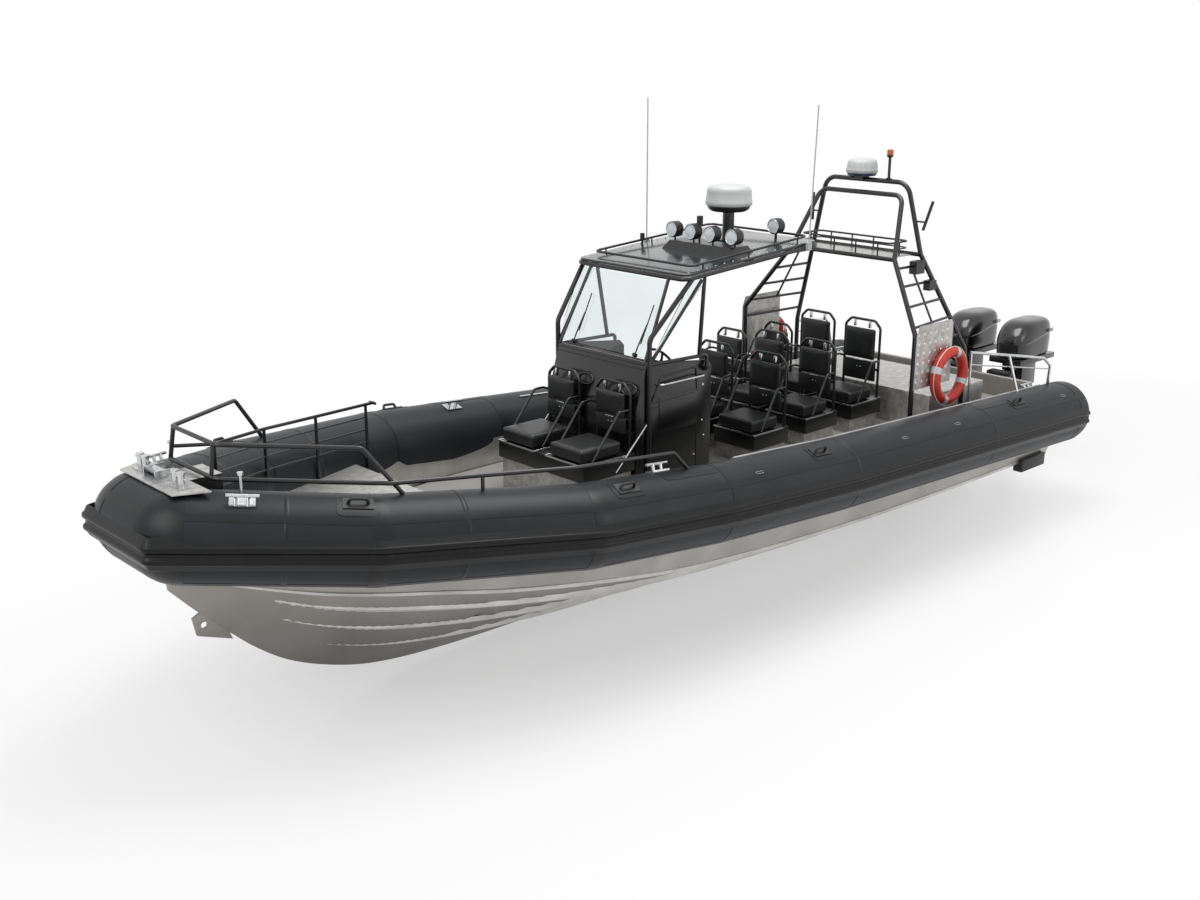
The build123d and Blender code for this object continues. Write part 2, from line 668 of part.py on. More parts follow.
def bow_rails(collar):
    """Pulpit and side handrails, with the barred guard to starboard, one welded frame."""
    corner_x, corner_y, top_z, low_z = 10280, 350, 1800, 1541
    low_x = corner_x + 32
    low_rail = [(low_x, corner_y + 10, low_z), (9220, 1060, 1430), (8500, 1265, 1385), (7730, 1500, 1335),
                (6650, 1580, 1255), on_tube(6500, 10)]
    high_rail = [(corner_x, corner_y, top_z), (9410, 970, 1730), on_tube(9120, 20)]
    guard = [(x, -guard_y(x), z) for x, z, _ in GUARD_POSTS]
    end_x, end_z = GUARD_POSTS[-1][0] - 120, GUARD_POSTS[-1][1] - 9
    guard_top = [(low_x - 12, -corner_y - 2, 1640)] + guard + [(end_x, -guard_y(end_x), end_z)]
    pieces = [
        pipe([(low_x, -corner_y - 10, low_z)] + low_rail, RAIL_TUBE, 60),
        pipe(port(high_rail)[::-1] + high_rail, RAIL_TUBE, 60),
        pipe(guard_top, POST_TUBE, 0),
        pipe([(end_x + 15, -guard_y(end_x) - 45, end_z), (end_x + 15, -guard_y(end_x) + 45, end_z)], POST_TUBE * 0.9),
    ]
    pieces.append(pipe([(corner_x, corner_y - 45, top_z), (low_x, corner_y - 45, low_z)], RAIL_TUBE * 0.9))
    pieces.append(pipe([(corner_x, -corner_y + 20, top_z - 8), (low_x, -corner_y - 8, low_z)], RAIL_TUBE * 0.98))
    for x, rail_y, rail_z in ((8500, 1265, 1385), (7730, 1500, 1335)):
        pieces.append(pipe([(x, rail_y, rail_z), (x, rail_y, rail_z - 200)], POST_TUBE))
    for (x, y, z), (_, _, floor_z) in zip(guard, GUARD_POSTS):
        pieces.append(pipe([(x, y, z), (x, y, floor_z)], POST_TUBE * 0.95))
    for drop in (120, 240, 360):
        pieces.append(pipe([(x, y, z - drop) for x, y, z in guard], BAR_TUBE, 0))
    return max((fused(pieces) - collar).solids(), key=lambda s: s.volume)


def arch_frame():
    """Aft arch: two ladder sides, two top hoops, cross bars and the stub aerials."""
    pieces = []
    f = ARCH_FOOT_Y
    front_x, rear_x = 2530, ARCH_REAR_FOOT_X
    for side in (-1, 1):
        front_leg = [(front_x, side * f, DECK_Z), (front_x, side * f, 1630), (SHELF_FRONT_X, side * 720, 2370)]
        rear_leg = [(rear_x, side * f, DECK_Z), (rear_x, side * f, 1340), (SHELF_REAR_X, side * 750, 2390)]
        pieces.append(pipe(front_leg, ARCH_TUBE))
        pieces.append(pipe(rear_leg, ARCH_TUBE))
        middles = []
        for z in (1500, 1700, 1900, 2100, 2280):
            share = max((z - 1630) / (2370 - 1630), 0)
            a = (front_x - (front_x - SHELF_FRONT_X) * share, side * (f - (f - 720) * share), z)
            share = (z - 1340) / (2390 - 1340)
            b = (rear_x + (SHELF_REAR_X - rear_x) * share, side * (f - (f - 750) * share), z)
            pieces.append(pipe([a, b], RUNG_TUBE))
            middles.append(tuple((p + q) / 2 for p, q in zip(a, b)))
        pieces.append(pipe([middles[1], middles[-1]], RUNG_TUBE * 0.8))
    pieces.append(pipe([(SHELF_FRONT_X, -720, 2370), (1990, -560, 3030), (1990, 560, 3030), (SHELF_FRONT_X, 720, 2370)],
                       ARCH_TUBE, 130))
    hoop_z = ARCH_HOOP_Z - ARCH_TUBE / 2
    pieces.append(pipe([(SHELF_REAR_X, -750, 2390), (ARCH_HOOP_X, -560, hoop_z), (ARCH_HOOP_X, 560, hoop_z),
                        (SHELF_REAR_X, 750, 2390)], ARCH_TUBE, 170))
    front_bar, rear_bar = SHELF_FRONT_X - SHELF_BAR_IN, SHELF_REAR_X + SHELF_BAR_IN
    pieces.append(pipe([(front_bar, -706, 2366), (front_bar, 706, 2366)], SHELF_BAR))
    pieces.append(pipe([(rear_bar, -738, 2384), (rear_bar, 738, 2384)], SHELF_BAR))
    pieces.append(block(ARCH_HOOP_X - 60, ARCH_HOOP_X + 60, -130, -10, ARCH_HOOP_Z - 30, ARCH_HOOP_Z + 14))
    pieces.append(block(1930, 2090, 775, 870, 2200, 2340))
    pieces.append(block(1800, 1930, 865, 950, 2010, 2120))
    pieces.append(pipe([(1875, 661, 2750), (1875, 790, 2750)], 20))
    pieces.append(pipe([(1880, 780, 2660), (1840, 860, 2980)], 34))
    pieces.append(pipe([(1875, -661, 2750), (1875, -770, 2750)], 20))
    pieces.append(pipe([(1875, -765, 2640), (1875, -765, 2960)], 34))
    return fused(pieces)


def stern_rails(collar):
    """Stainless handrails from the arch out to the tube ends."""
    x0, y0, z0 = on_tube(300, 40)
    top = [(1470, 1262, 1290), (760, 1480, 1175), (430, 1590, 1120), (330, 1625, 1020), (x0, y0, z0 - 20)]
    post_x, post_y, post_z = on_tube(930, 60)
    rail = fused([
        pipe(top, 34, 55),
        pipe([(1470, 1262, 1150), (470, 1577, 1000), (360, 1612, 985)], BAR_TUBE, 0),
        pipe([(post_x, post_y, post_z - 20), (930, 1428, 1202)], 28),
        pipe([(1470, 1262, 1305), (1470, 1262, 700)], 28),
    ]) - collar
    return as_one(both_sides(max(rail.solids(), key=lambda s: s.volume)))


def on_tube_plane(x, angle):
    """A plane on the port tube's skin, some degrees outboard of its crown."""
    (ya, za), (yb, zb) = tube_centre(x - 5), tube_centre(x + 5)
    ahead = Vector(10, yb - ya, zb - za).normalized()
    out = Vector(0, sin(radians(angle)), cos(radians(angle)))
    out = (out - ahead * out.dot(ahead)).normalized()
    y, z = tube_centre(x)
    return Plane(origin=Vector(x, y, z) + out * TUBE_RADIUS, x_dir=ahead, z_dir=out)


def grab_handles(collar):
    """Moulded handles on pads along the tubes."""
    handles = []
    for x in HANDLE_X:
        shape = fused([
            Box(230, 120, 16),
            pipe([(-80, 0, 0), (-60, 0, 50), (60, 0, 50), (80, 0, 0)], 26, 20),
        ])
        handles += both_sides(on_tube_plane(x, HANDLE_ANGLE) * shape - collar)
    return as_one([max(h.solids(), key=lambda s: s.volume) for h in handles])


def tube_cleats(collar):
    """Mooring cleats on plates along the tubes."""
    cleats = []
    for x, angle in CLEATS:
        shape = fused([
            Pos(0, 0, 2) * Box(190, 110, 18),
            Pos(-45, 0, 35) * Cylinder(16, 60),
            Pos(45, 0, 35) * Cylinder(16, 60),
            Pos(0, 0, 66) * Rot(0, 90, 0) * Cylinder(14, 240),
        ])
        cleats += both_sides(on_tube_plane(x, angle) * shape - collar)
    cleats = [max(c.solids(), key=lambda s: s.volume) for c in cleats]
    y, z = tube_centre(CLEAT_POST_X)
    top = z + TUBE_RADIUS + 165
    post = fused([upright(CLEAT_POST_X, y + 20, z + TUBE_RADIUS - 60, top, 13),
                  upright(CLEAT_POST_X, y + 20, top - 22, top, 24)]) - collar
    return as_one(cleats + both_sides(max(post.solids(), key=lambda s: s.volume)))


def bow_plate(collar, step):
    """Tread plate across the bow, on a bracket from the locker behind it."""
    plate = plan_plate([(BOW_PLATE_X - 130, 540), (BOW_PLATE_X + 130, 430)], BOW_PLATE_Z - 12, BOW_PLATE_Z) - collar
    bracket = block(10150, BOW_PLATE_X - 110, -160, 160, BOW_STEP_TOP_Z, BOW_PLATE_Z - 12) - collar
    return fused([plate, max(bracket.solids(), key=lambda s: s.volume)])


def bow_bitts():
    """A pair of twin bollards with horns."""
    foot = BOW_PLATE_Z
    bitts = []
    for y in (-BITT_Y, BITT_Y):
        pieces = [block(BOW_PLATE_X - 50, BOW_PLATE_X + 50, y - 95, y + 95, foot, foot + 10)]
        for step in (-45, 45):
            pieces += [upright(BOW_PLATE_X, y + step, foot, foot + 120, 26),
                       upright(BOW_PLATE_X, y + step, foot + 110, foot + 124, 34)]
        pieces.append(across(BOW_PLATE_X, y, foot + 84, 10, 230))
        bitts.append(fused(pieces))
    return as_one(bitts)


def bow_fairlead():
    """Roller in a cradle between the bollards."""
    foot = BOW_PLATE_Z
    cradle = fused([block(BOW_PLATE_X - 90, BOW_PLATE_X + 100, -105, 105, foot, foot + 12)]
                   + [block(BOW_PLATE_X - 80, BOW_PLATE_X + 90, y - 6, y + 6, foot, foot + 90) for y in (-95, 95)])
    return fused([cradle, across(BOW_PLATE_X + 10, 0, foot + 52, 34, 190)])


def bow_eye(hull_body):
    """Towing bracket on the stem with a shackle hole."""
    outline = [(10240, 420), (10430, 330), (10400, 175), (10100, 60)]
    plate = side_profile(outline, -BOW_EYE_THICKNESS / 2, BOW_EYE_THICKNESS / 2)
    plate = max((plate - hull_body).solids(), key=lambda s: s.volume)
    return plate - across(BOW_EYE_X, 0, BOW_EYE_Z, BOW_EYE_RADIUS, 3 * BOW_EYE_THICKNESS)


def trim_tabs(hull_body):
    """Black wedges under the outer corners of the stern."""
    tab = block(120, 640, 1440, 1560, -250, -100) - hull_body
    return as_one(both_sides(max(tab.solids(), key=lambda s: s.volume)))


def helm_column():
    """Short shaft that carries the wheel, out of the dash."""
    return HELM_PLANE * Pos(0, 0, -70) * Cylinder(SHAFT_RADIUS, 170)


def console_rails():
    """Grab rails along the console's sides."""
    y = CONSOLE_HALF_WIDTH
    rail = pipe([(5890, y, 1560), (5890, y + 60, 1560), (5290, y + 60, 1560), (5290, y, 1560)], 24, 30)
    return as_one(both_sides(rail))


def console_locker():
    """Flush locker door on the port side of the console."""
    y = CONSOLE_HALF_WIDTH
    return block(5330, 5860, y, y + 8, 1080, 1420)


def roof_gear(panel):
    """Radar pedestal, radar dome, lamp bar, lamps, all-round light, spotlight and low rails."""
    deck_lift = ROOF_TUBE / 2 + ROOF_THICKNESS

    def roof_top(x):
        return roof_z(x) + deck_lift

    pedestal = fused([block(4130, 4350, -110, 110, roof_top(4240) - 20, roof_top(4240) + 22),
                      upright(4240, 0, roof_top(4240), RADAR_BASE_Z, 60)]) - panel
    pedestal = max(pedestal.solids(), key=lambda s: s.volume)
    dome = upright(4240, 0, RADAR_BASE_Z, RADAR_BASE_Z + 265, 240)
    dome = fillet(dome.edges().group_by(Axis.Z)[-1], 70)
    dome = chamfer(dome.edges().group_by(Axis.Z)[0], 30)
    base_z = roof_top(LAMP_BAR_X)
    base_y = (LAMP_Y[0] + LAMP_Y[-1]) / 2
    foot_size, top_size = (LAMP_BASE_LENGTH, LAMP_BASE_WIDTH), (LAMP_BASE_LENGTH - 120, LAMP_BASE_WIDTH - 160)
    wires = []
    for (length, width), z in ((foot_size, base_z - 30), (top_size, base_z + LAMP_BASE_HEIGHT)):
        ring = [(LAMP_BAR_X - 60 + sx * length / 2, base_y + sy * width / 2, z)
                for sx, sy in ((-1, -1), (1, -1), (1, 1), (-1, 1))]
        wires.append(Wire.make_polygon([Vector(*p) for p in ring], close=True))
    bar = max((Solid.make_loft(wires, ruled=True) - panel).solids(), key=lambda s: s.volume)
    top_z = base_z + LAMP_BASE_HEIGHT
    lamps = []
    for y in LAMP_Y:
        housing = block(LAMP_BAR_X - 50, LAMP_BAR_X + 45, y - LAMP_SIZE / 2, y + LAMP_SIZE / 2, top_z + 40, top_z + 40 + LAMP_SIZE)
        housing = fillet(housing.edges().filter_by(Axis.X), 28)
        stem = upright(LAMP_BAR_X - 5, y, top_z, top_z + 60, 10)
        lamps.append(fused([housing, stem]))
    pole = fused([upright(LAMP_BAR_X - 90, LAMP_Y[1], top_z, top_z + 200, 11),
                  upright(LAMP_BAR_X - 90, LAMP_Y[1], top_z + 160, top_z + 250, 32)])
    light = upright(4850, -640, roof_top(4850) - 30, roof_top(4850) + 110, 12) - panel
    light = fused([max(light.solids(), key=lambda s: s.volume),
                   upright(4850, -640, roof_top(4850) + 60, roof_top(4850) + 120, 24)])
    spot = fused([upright(3860, 320, roof_top(3860) - 30, roof_top(3860) + 90, 14) - panel,
                  fillet(block(3810, 3900, 265, 375, roof_top(3860) + 70, roof_top(3860) + 180).edges().filter_by(Axis.X), 26)])
    half_ring = [(RACK_FRONT_X, 0), (RACK_FRONT_X, RACK_HALF_WIDTH), (RACK_REAR_X, RACK_HALF_WIDTH), (RACK_REAR_X, 0)]
    half_ring = [(x, y, roof_top(x) + RACK_LIFT) for x, y in half_ring]
    pieces = both_sides(pipe(half_ring, 24, 70))
    for x in (RACK_FRONT_X - 160, 4680, RACK_REAR_X + 160):
        for y in (-RACK_HALF_WIDTH, RACK_HALF_WIDTH):
            pieces.append(upright(x, y, roof_top(x) - 30, roof_top(x) + RACK_LIFT, 8))
    rails = [max((fused(pieces) - panel).solids(), key=lambda s: s.volume)]
    lamps.append(pole)
    return pedestal, dome, bar, as_one(lamps + [light, spot]), as_one(rails)


def whip_antennas():
    """Two whips on the roof's tube ring."""
    whips = []
    for x, side, lean, height in ((4640, -1, 0, 1500), (3900, 1, -60, 1400)):
        y = side * (ROOF_HALF_WIDTH + ROOF_TUBE / 2)
        z = roof_z(x)
        foot = fused([block(x - 30, x + 30, y, y + side * 30, z - 20, z + 60)])
        whips.append(fused([foot, pipe([(x, y + side * 15, z + 40), (x + lean, y + side * 15, z + height)], 14)]))
    return as_one(whips)


def arch_gear():
    """Shelf, basket, dome, beacon, side panels and lifebuoys on the arch."""
    reach = SHELF_BAR_IN + SHELF_BAR / 2
    shelf = block(SHELF_REAR_X + reach, SHELF_FRONT_X - reach, -650, 650, 2372, 2380)
    near, far = SHELF_FRONT_X - 55, SHELF_REAR_X + 60
    basket = []
    for z, thick in ((2455, 16), (2530, 22)):
        basket += both_sides(pipe([(far, 0, z), (far, 620, z), (near, 620, z), (near, 0, z)], thick, 60))
    for y in (-450, -150, 150, 450):
        basket += [upright(x, y, 2380, 2530, 9) for x in (far, near)]
    basket += [upright((near + far) / 2, y, 2380, 2530, 9) for y in (-620, 620)]
    dome_y = -70
    base_z = ARCH_HOOP_Z + 14
    dome = upright(ARCH_HOOP_X, dome_y, base_z, base_z + 190, 180)
    dome = fillet(dome.edges().group_by(Axis.Z)[-1], 80)
    beacon = fused([upright(ARCH_HOOP_X, 300, ARCH_HOOP_Z, ARCH_HOOP_Z + 240, 16),
                    upright(ARCH_HOOP_X, 300, ARCH_HOOP_Z + 240, ARCH_HOOP_Z + 330, 40)])
    y = ARCH_FOOT_Y + ARCH_TUBE / 2 + SEAT_GAP
    outline = [(2545, 1030), (2545, 1610), (2500, 1730), (1890, 1730), (1850, 1690), (1850, 1030)]
    panels = both_sides(side_profile(outline, y, y + 6))
    buoy_y = y + 6 + SEAT_GAP + LIFEBUOY_MINOR
    buoy = Pos(LIFEBUOY_CENTRE[0], buoy_y, LIFEBUOY_CENTRE[1]) * Rot(90, 0, 0) * Torus(LIFEBUOY_MAJOR, LIFEBUOY_MINOR)
    return shelf, fused(basket), dome, beacon, as_one(panels), as_one(both_sides(buoy))


def aft_locker():
    """Raised aluminium stowage box across the stern, aft of the last row of seats."""
    return block(900, 2000, -1100, 1100, DECK_Z, 850)


def write_all():
    """Build every node and write it."""
    os.makedirs("parts", exist_ok=True)
    collar = tube_collar()
    keep("tube_collar", collar)
    keep("rub_strake", rub_strake(collar))
    body = hull(collar)
    keep("hull", body)
    keep("spray_rails", spray_rails(body))
    keep("trim_tabs", trim_tabs(body))
    keep("bow_eye", bow_eye(body))
    deck_plate = deck()
    keep("deck", deck_plate)
    step = bow_step(collar, body)
    keep("bow_step", step)
    keep("bow_plate", bow_plate(collar, step))
    keep("bow_bitts", as_one([bow_bitts(), bow_fairlead()]))
    keep("side_linings", side_linings(collar, body, deck_plate))
    keep("grab_handles", grab_handles(collar))
    keep("tube_cleats", tube_cleats(collar))
    keep("transom", transom(collar))
    keep("engine_pods", engine_pods())
    keep("engine_brackets", engine_brackets())
    for name, y in (("port", ENGINE_Y), ("starboard", -ENGINE_Y)):
        keep(f"swivel_{name}", swivel(y))
        keep(f"engine_leg_{name}", engine_leg(y))
        keep(f"engine_cowl_{name}", cowl(y))
        keep(f"powerhead_{name}", powerhead(y))
        keep(f"propeller_{name}", propeller(y))
    console_body = fused([console(), console_locker()])
    keep("console", console_body)
    keep("console_rails", console_rails())
    keep("dash", fused([dash(), helm_column()]))
    keep("helm_wheel", helm_wheel())
    frame = canopy_frame(console_body)
    keep("canopy_frame", frame)
    keep("windscreen", windscreen(frame, console_body))
    keep("side_windows", side_windows(frame))
    panel = roof_panel()
    keep("roof_panel", panel)
    gear = roof_gear(panel)
    for name, shape in zip(("radar_pedestal", "radar_dome", "lamp_bar", "roof_lamps", "roof_rails"), gear):
        keep(name, shape)
    keep("whip_antennas", whip_antennas())
    cushions, backs, frames, boxes, plinths = seat_parts()
    keep("seat_cushions", as_one(cushions))
    keep("seat_backs", as_one(backs))
    keep("seat_frames", as_one(frames))
    keep("seat_boxes", as_one(boxes))
    keep("seat_plinths", as_one(plinths))
    keep("aft_locker", aft_locker())
    keep("bow_rails", bow_rails(collar))
    keep("arch_frame", arch_frame())
    for name, shape in zip(("arch_shelf", "arch_basket", "arch_dome", "beacon", "side_panels", "lifebuoys"),
                           arch_gear()):
        keep(name, shape)
    keep("stern_rails", stern_rails(collar))


write_all()
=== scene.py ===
# %% [markdown]
# An eleven metre rigid inflatable boat, dressed for a studio picture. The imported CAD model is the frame: every
# piece below is in metres, in that frame, with X forward, Y to port and Z up from the waterline.
# %% Load the frame
from math import ceil, cos, degrees, hypot, pi, radians, sin, sqrt

import bmesh
import bpy
from mathutils import Matrix, Vector


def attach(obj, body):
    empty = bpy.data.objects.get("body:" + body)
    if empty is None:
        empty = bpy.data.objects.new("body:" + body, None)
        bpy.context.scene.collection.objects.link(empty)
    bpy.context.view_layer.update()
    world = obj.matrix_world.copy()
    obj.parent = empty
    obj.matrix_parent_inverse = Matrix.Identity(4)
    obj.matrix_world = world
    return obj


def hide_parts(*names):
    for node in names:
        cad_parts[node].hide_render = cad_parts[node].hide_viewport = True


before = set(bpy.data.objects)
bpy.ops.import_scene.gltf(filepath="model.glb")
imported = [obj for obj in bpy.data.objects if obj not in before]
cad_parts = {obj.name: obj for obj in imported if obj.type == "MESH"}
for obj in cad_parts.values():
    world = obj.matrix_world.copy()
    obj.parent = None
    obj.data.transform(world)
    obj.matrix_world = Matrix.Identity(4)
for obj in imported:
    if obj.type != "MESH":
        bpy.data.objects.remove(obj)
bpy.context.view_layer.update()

# %% [markdown]
# The camera stands off the port bow, as in the photograph. Its place comes from fitting the boat's long straight
# lines, so the lens and the height are those of a long view from a little above deck level.
# %% Camera
CAMERA_PLACE = (14.74, 9.30, 4.661)
CAMERA_PITCH = 16.846
CAMERA_HEADING = 226.937
LENS_MM = 40.462

lens = bpy.data.cameras.new("camera")
lens.lens = LENS_MM
lens.sensor_width = 36
lens.sensor_fit = "HORIZONTAL"
lens.clip_end = 300
camera = bpy.data.objects.new("camera", lens)
camera.location = CAMERA_PLACE
camera.rotation_euler = (radians(90 - CAMERA_PITCH), 0, radians(CAMERA_HEADING - 90))
bpy.context.scene.collection.objects.link(camera)
bpy.context.scene.camera = camera
bpy.context.scene.view_settings.view_transform = "Standard"
print("lens of", LENS_MM, "mm, at", CAMERA_PLACE)

# %% [markdown]
# Colours are written as they look on a screen and turned to linear light once, here. One small function adds a
# shader node with its settings and its links, so that each material reads as a list of what it is made of.
# %% Colours and shader nodes


def linear(colour):
    """An sRGB hex colour as linear red, green, blue and alpha."""
    parts = [int(colour[i:i + 2], 16) / 255 for i in (1, 3, 5)]
    return tuple(p / 12.92 if p <= 0.04045 else ((p + 0.055) / 1.055) ** 2.4 for p in parts) + (1.0,)


def add(tree, kind, inputs=None, **settings):
    """Add one node. Inputs maps a socket to a value or to another node's output."""
    made = tree.nodes.new(kind)
    for name, value in settings.items():
        setattr(made, name, value)
    for socket, value in (inputs or {}).items():
        if isinstance(value, bpy.types.NodeSocket):
            tree.links.new(value, made.inputs[socket])
        else:
            made.inputs[socket].default_value = value
    return made


def start_material(name, colour, roughness, metallic=0.0, **sockets):
    """A new material with one principled shader, and its node tree."""
    made = bpy.data.materials.new(name)
    made.use_nodes = True
    shader = made.node_tree.nodes["Principled BSDF"]
    shader.inputs["Base Color"].default_value = linear(colour)
    shader.inputs["Roughness"].default_value = roughness
    shader.inputs["Metallic"].default_value = metallic
    for socket, value in sockets.items():
        shader.inputs[socket.replace("_", " ").title().replace("Ior", "IOR")].default_value = value
    made.diffuse_color = linear(colour)
    return made, made.node_tree, shader


def mottle(tree, shader, colours, size_mm, detail=4.0):
    """Let the colour drift between a few close tones, in patches of a real size."""
    place = add(tree, "ShaderNodeTexCoord").outputs["Object"]
    noise = add(tree, "ShaderNodeTexNoise", {"Vector": place, "Scale": 1000 / size_mm, "Detail": detail})
    ramp = add(tree, "ShaderNodeValToRGB", {"Fac": noise.outputs["Fac"]})
    ramp.color_ramp.elements[0].position, ramp.color_ramp.elements[1].position = 0.35, 0.65
    ramp.color_ramp.elements[0].color, ramp.color_ramp.elements[1].color = linear(colours[0]), linear(colours[1])
    tree.links.new(ramp.outputs["Color"], shader.inputs["Base Color"])
    return ramp


def grain(tree, shader, height, depth_mm, strength):
    """Raise the surface by a pattern's height."""
    bump = add(tree, "ShaderNodeBump", {"Height": height, "Distance": depth_mm / 1000, "Strength": strength})
    tree.links.new(bump.outputs["Normal"], shader.inputs["Normal"])


def fine_relief(tree, shader, per_metre, detail, depth_mm, strength, stretch=(1, 1, 1)):
    """A small random relief. Stretch draws it out along the boat, as brushing does."""
    place = add(tree, "ShaderNodeTexCoord").outputs["Object"]
    drawn = add(tree, "ShaderNodeMapping", {"Vector": place, "Scale": stretch})
    noise = add(tree, "ShaderNodeTexNoise", {"Vector": drawn.outputs["Vector"], "Scale": per_metre, "Detail": detail})
    grain(tree, shader, noise.outputs["Fac"], depth_mm, strength)


# %% [markdown]
# The collar is a coated fabric: a woven polyester under a skin of synthetic rubber. From a few metres away only
# the skin shows, a dry charcoal with a soft sheen, faint blotches and a fine cloth grain. A picture of cloth could
# be wrapped round it, but patterns worked out from the place in space need no unwrapping and have no seams.
# %% Collar fabrics
tube_cloth, tree, shader = start_material("coated_tube_fabric", "#202326", 0.42, specular_ior_level=0.22)
mottle(tree, shader, ("#1d2023", "#23262a"), 420)
fine_relief(tree, shader, 260.0, 3.0, 0.5, 0.25)

seam_cloth, tree, shader = start_material("taped_seam_fabric", "#151719", 0.38, specular_ior_level=0.28)
mottle(tree, shader, ("#121315", "#17191b"), 180)
fine_relief(tree, shader, 300.0, 2.0, 0.5, 0.25)

strake_rubber, tree, shader = start_material("extruded_fender_rubber", "#0a0b0c", 0.36, specular_ior_level=0.25)
mottle(tree, shader, ("#08090a", "#0d0e0f"), 160)
print("collar in", [made.name for made in (tube_cloth, seam_cloth, strake_rubber)])

# %% [markdown]
# The hull is bare marine aluminium, blasted to an even satin. It reflects the studio, so its colour is mostly the
# floor's; its colour is painted darker towards the bottom, a painted shade, and fine streaks along the boat keep it
# from looking like plastic.
# %% Hull aluminium
hull_alloy, tree, shader = start_material("blasted_aluminium", "#a09c97", 0.4, 0.8)
tones = mottle(tree, shader, ("#98948f", "#a8a4a0"), 700)
place = add(tree, "ShaderNodeTexCoord").outputs["Object"]
height = add(tree, "ShaderNodeSeparateXYZ", {"Vector": place}).outputs["Z"]
# Painted shade: the colour is multiplied down towards the bottom by height alone, from 0.92 up high to 0.34 low down.
painted_shade_by_height = add(tree, "ShaderNodeMapRange", {"Value": height, "From Min": -0.55, "From Max": 0.55,
                                        "To Min": 0.34, "To Max": 0.92})
tones_with_painted_shade = add(tree, "ShaderNodeVectorMath", {0: tones.outputs["Color"], 1: painted_shade_by_height.outputs["Result"]},
                operation="MULTIPLY")
tree.links.new(tones_with_painted_shade.outputs["Vector"], shader.inputs["Base Color"])
fine_relief(tree, shader, 5.0, 4.0, 0.6, 0.2, (3.0, 60.0, 60.0))

topside_alloy, tree, shader = start_material("topside_aluminium", "#aaa7a3", 0.36, 0.8)
mottle(tree, shader, ("#a29f9b", "#b2afab"), 500)
fine_relief(tree, shader, 5.0, 4.0, 0.5, 0.2, (3.0, 60.0, 60.0))

bare_alloy, tree, shader = start_material("brushed_aluminium", "#c9c8c5", 0.33, 0.85)
mottle(tree, shader, ("#bcbbb8", "#d2d1ce"), 300)
fine_relief(tree, shader, 6.0, 4.0, 0.4, 0.25, (4.0, 90.0, 90.0))
print("hull in", [made.name for made in (hull_alloy, topside_alloy, bare_alloy)])

# %% [markdown]
# Floors and treads are rolled tread plate. The bars could be modelled, at the price of thousands of faces that
# nobody would count. Two turned brick grids that raise the surface give the same crossed bars, at a 40 mm pitch.
# %% Tread plate and deck grip


def tread_height(tree, pitch_mm):
    """Height of a tread plate's crossed bars."""
    place = add(tree, "ShaderNodeTexCoord").outputs["Object"]
    bars = []
    for turn in (45, -45):
        turned = add(tree, "ShaderNodeMapping", {"Vector": place, "Rotation": (0, 0, radians(turn))})
        wave = add(tree, "ShaderNodeTexBrick", {"Vector": turned.outputs["Vector"], "Scale": 1000 / pitch_mm,
                                                "Mortar Size": 0.16, "Mortar Smooth": 0.6, "Brick Width": 1.0,
                                                "Row Height": 0.5, "Color1": (1, 1, 1, 1), "Color2": (0, 0, 0, 1),
                                                "Mortar": (0, 0, 0, 1)})
        bars.append(wave.outputs["Color"])
    return add(tree, "ShaderNodeMath", {0: bars[0], 1: bars[1]}, operation="MAXIMUM").outputs["Value"]


tread_alloy, tree, shader = start_material("rolled_tread_plate", "#b9b8b5", 0.4, 0.7)
mottle(tree, shader, ("#a5a4a1", "#c4c3c0"), 60)
grain(tree, shader, tread_height(tree, 40), 1.5, 0.6)

deck_grip, tree, shader = start_material("gritted_deck_paint", "#8c8a86", 0.75)
mottle(tree, shader, ("#7d7b77", "#989692"), 9, 6.0)
fine_relief(tree, shader, 350.0, 2.0, 0.8, 0.5)
print("floors in", [made.name for made in (tread_alloy, deck_grip)])

# %% [markdown]
# Tubes and boxes are steel and aluminium under a black powder coat: baked plastic with a slight orange peel.
# The roof is the same coat, glossier, over tread plate. The engine covers are sprayed gloss black.
# %% Black coats
powder_coat, tree, shader = start_material("black_powder_coat", "#0c0d0d", 0.32, coat_weight=0.15, coat_roughness=0.3)
mottle(tree, shader, ("#0a0b0b", "#0f1011"), 90)
fine_relief(tree, shader, 420.0, 1.0, 0.3, 0.15)

console_coat, tree, shader = start_material("black_gelcoat", "#0a0a0b", 0.26, coat_weight=0.2, coat_roughness=0.2)
mottle(tree, shader, ("#080809", "#0c0d0e"), 240)

roof_coat, tree, shader = start_material("coated_tread_roof", "#3a3c3e", 0.2, 0.5, coat_weight=0.5, coat_roughness=0.1)
mottle(tree, shader, ("#26282a", "#4a4c4f"), 30)
grain(tree, shader, tread_height(tree, 55), 1.2, 0.5)

engine_gloss, tree, shader = start_material("sprayed_engine_gloss", "#08090a", 0.26, coat_weight=0.5,
                                            coat_roughness=0.12)
mottle(tree, shader, ("#070708", "#0b0c0d"), 200)

engine_metal, tree, shader = start_material("painted_engine_casting", "#1c1d1f", 0.5, 0.2)
mottle(tree, shader, ("#161719", "#242528"), 60)

moulded_black, tree, shader = start_material("moulded_black_plastic", "#0e0f0f", 0.46)
mottle(tree, shader, ("#0b0c0c", "#121314"), 50)
fine_relief(tree, shader, 500.0, 2.0, 0.3, 0.3)
print("blacks", [made.name for made in (powder_coat, console_coat, roof_coat, engine_gloss, moulded_black)])

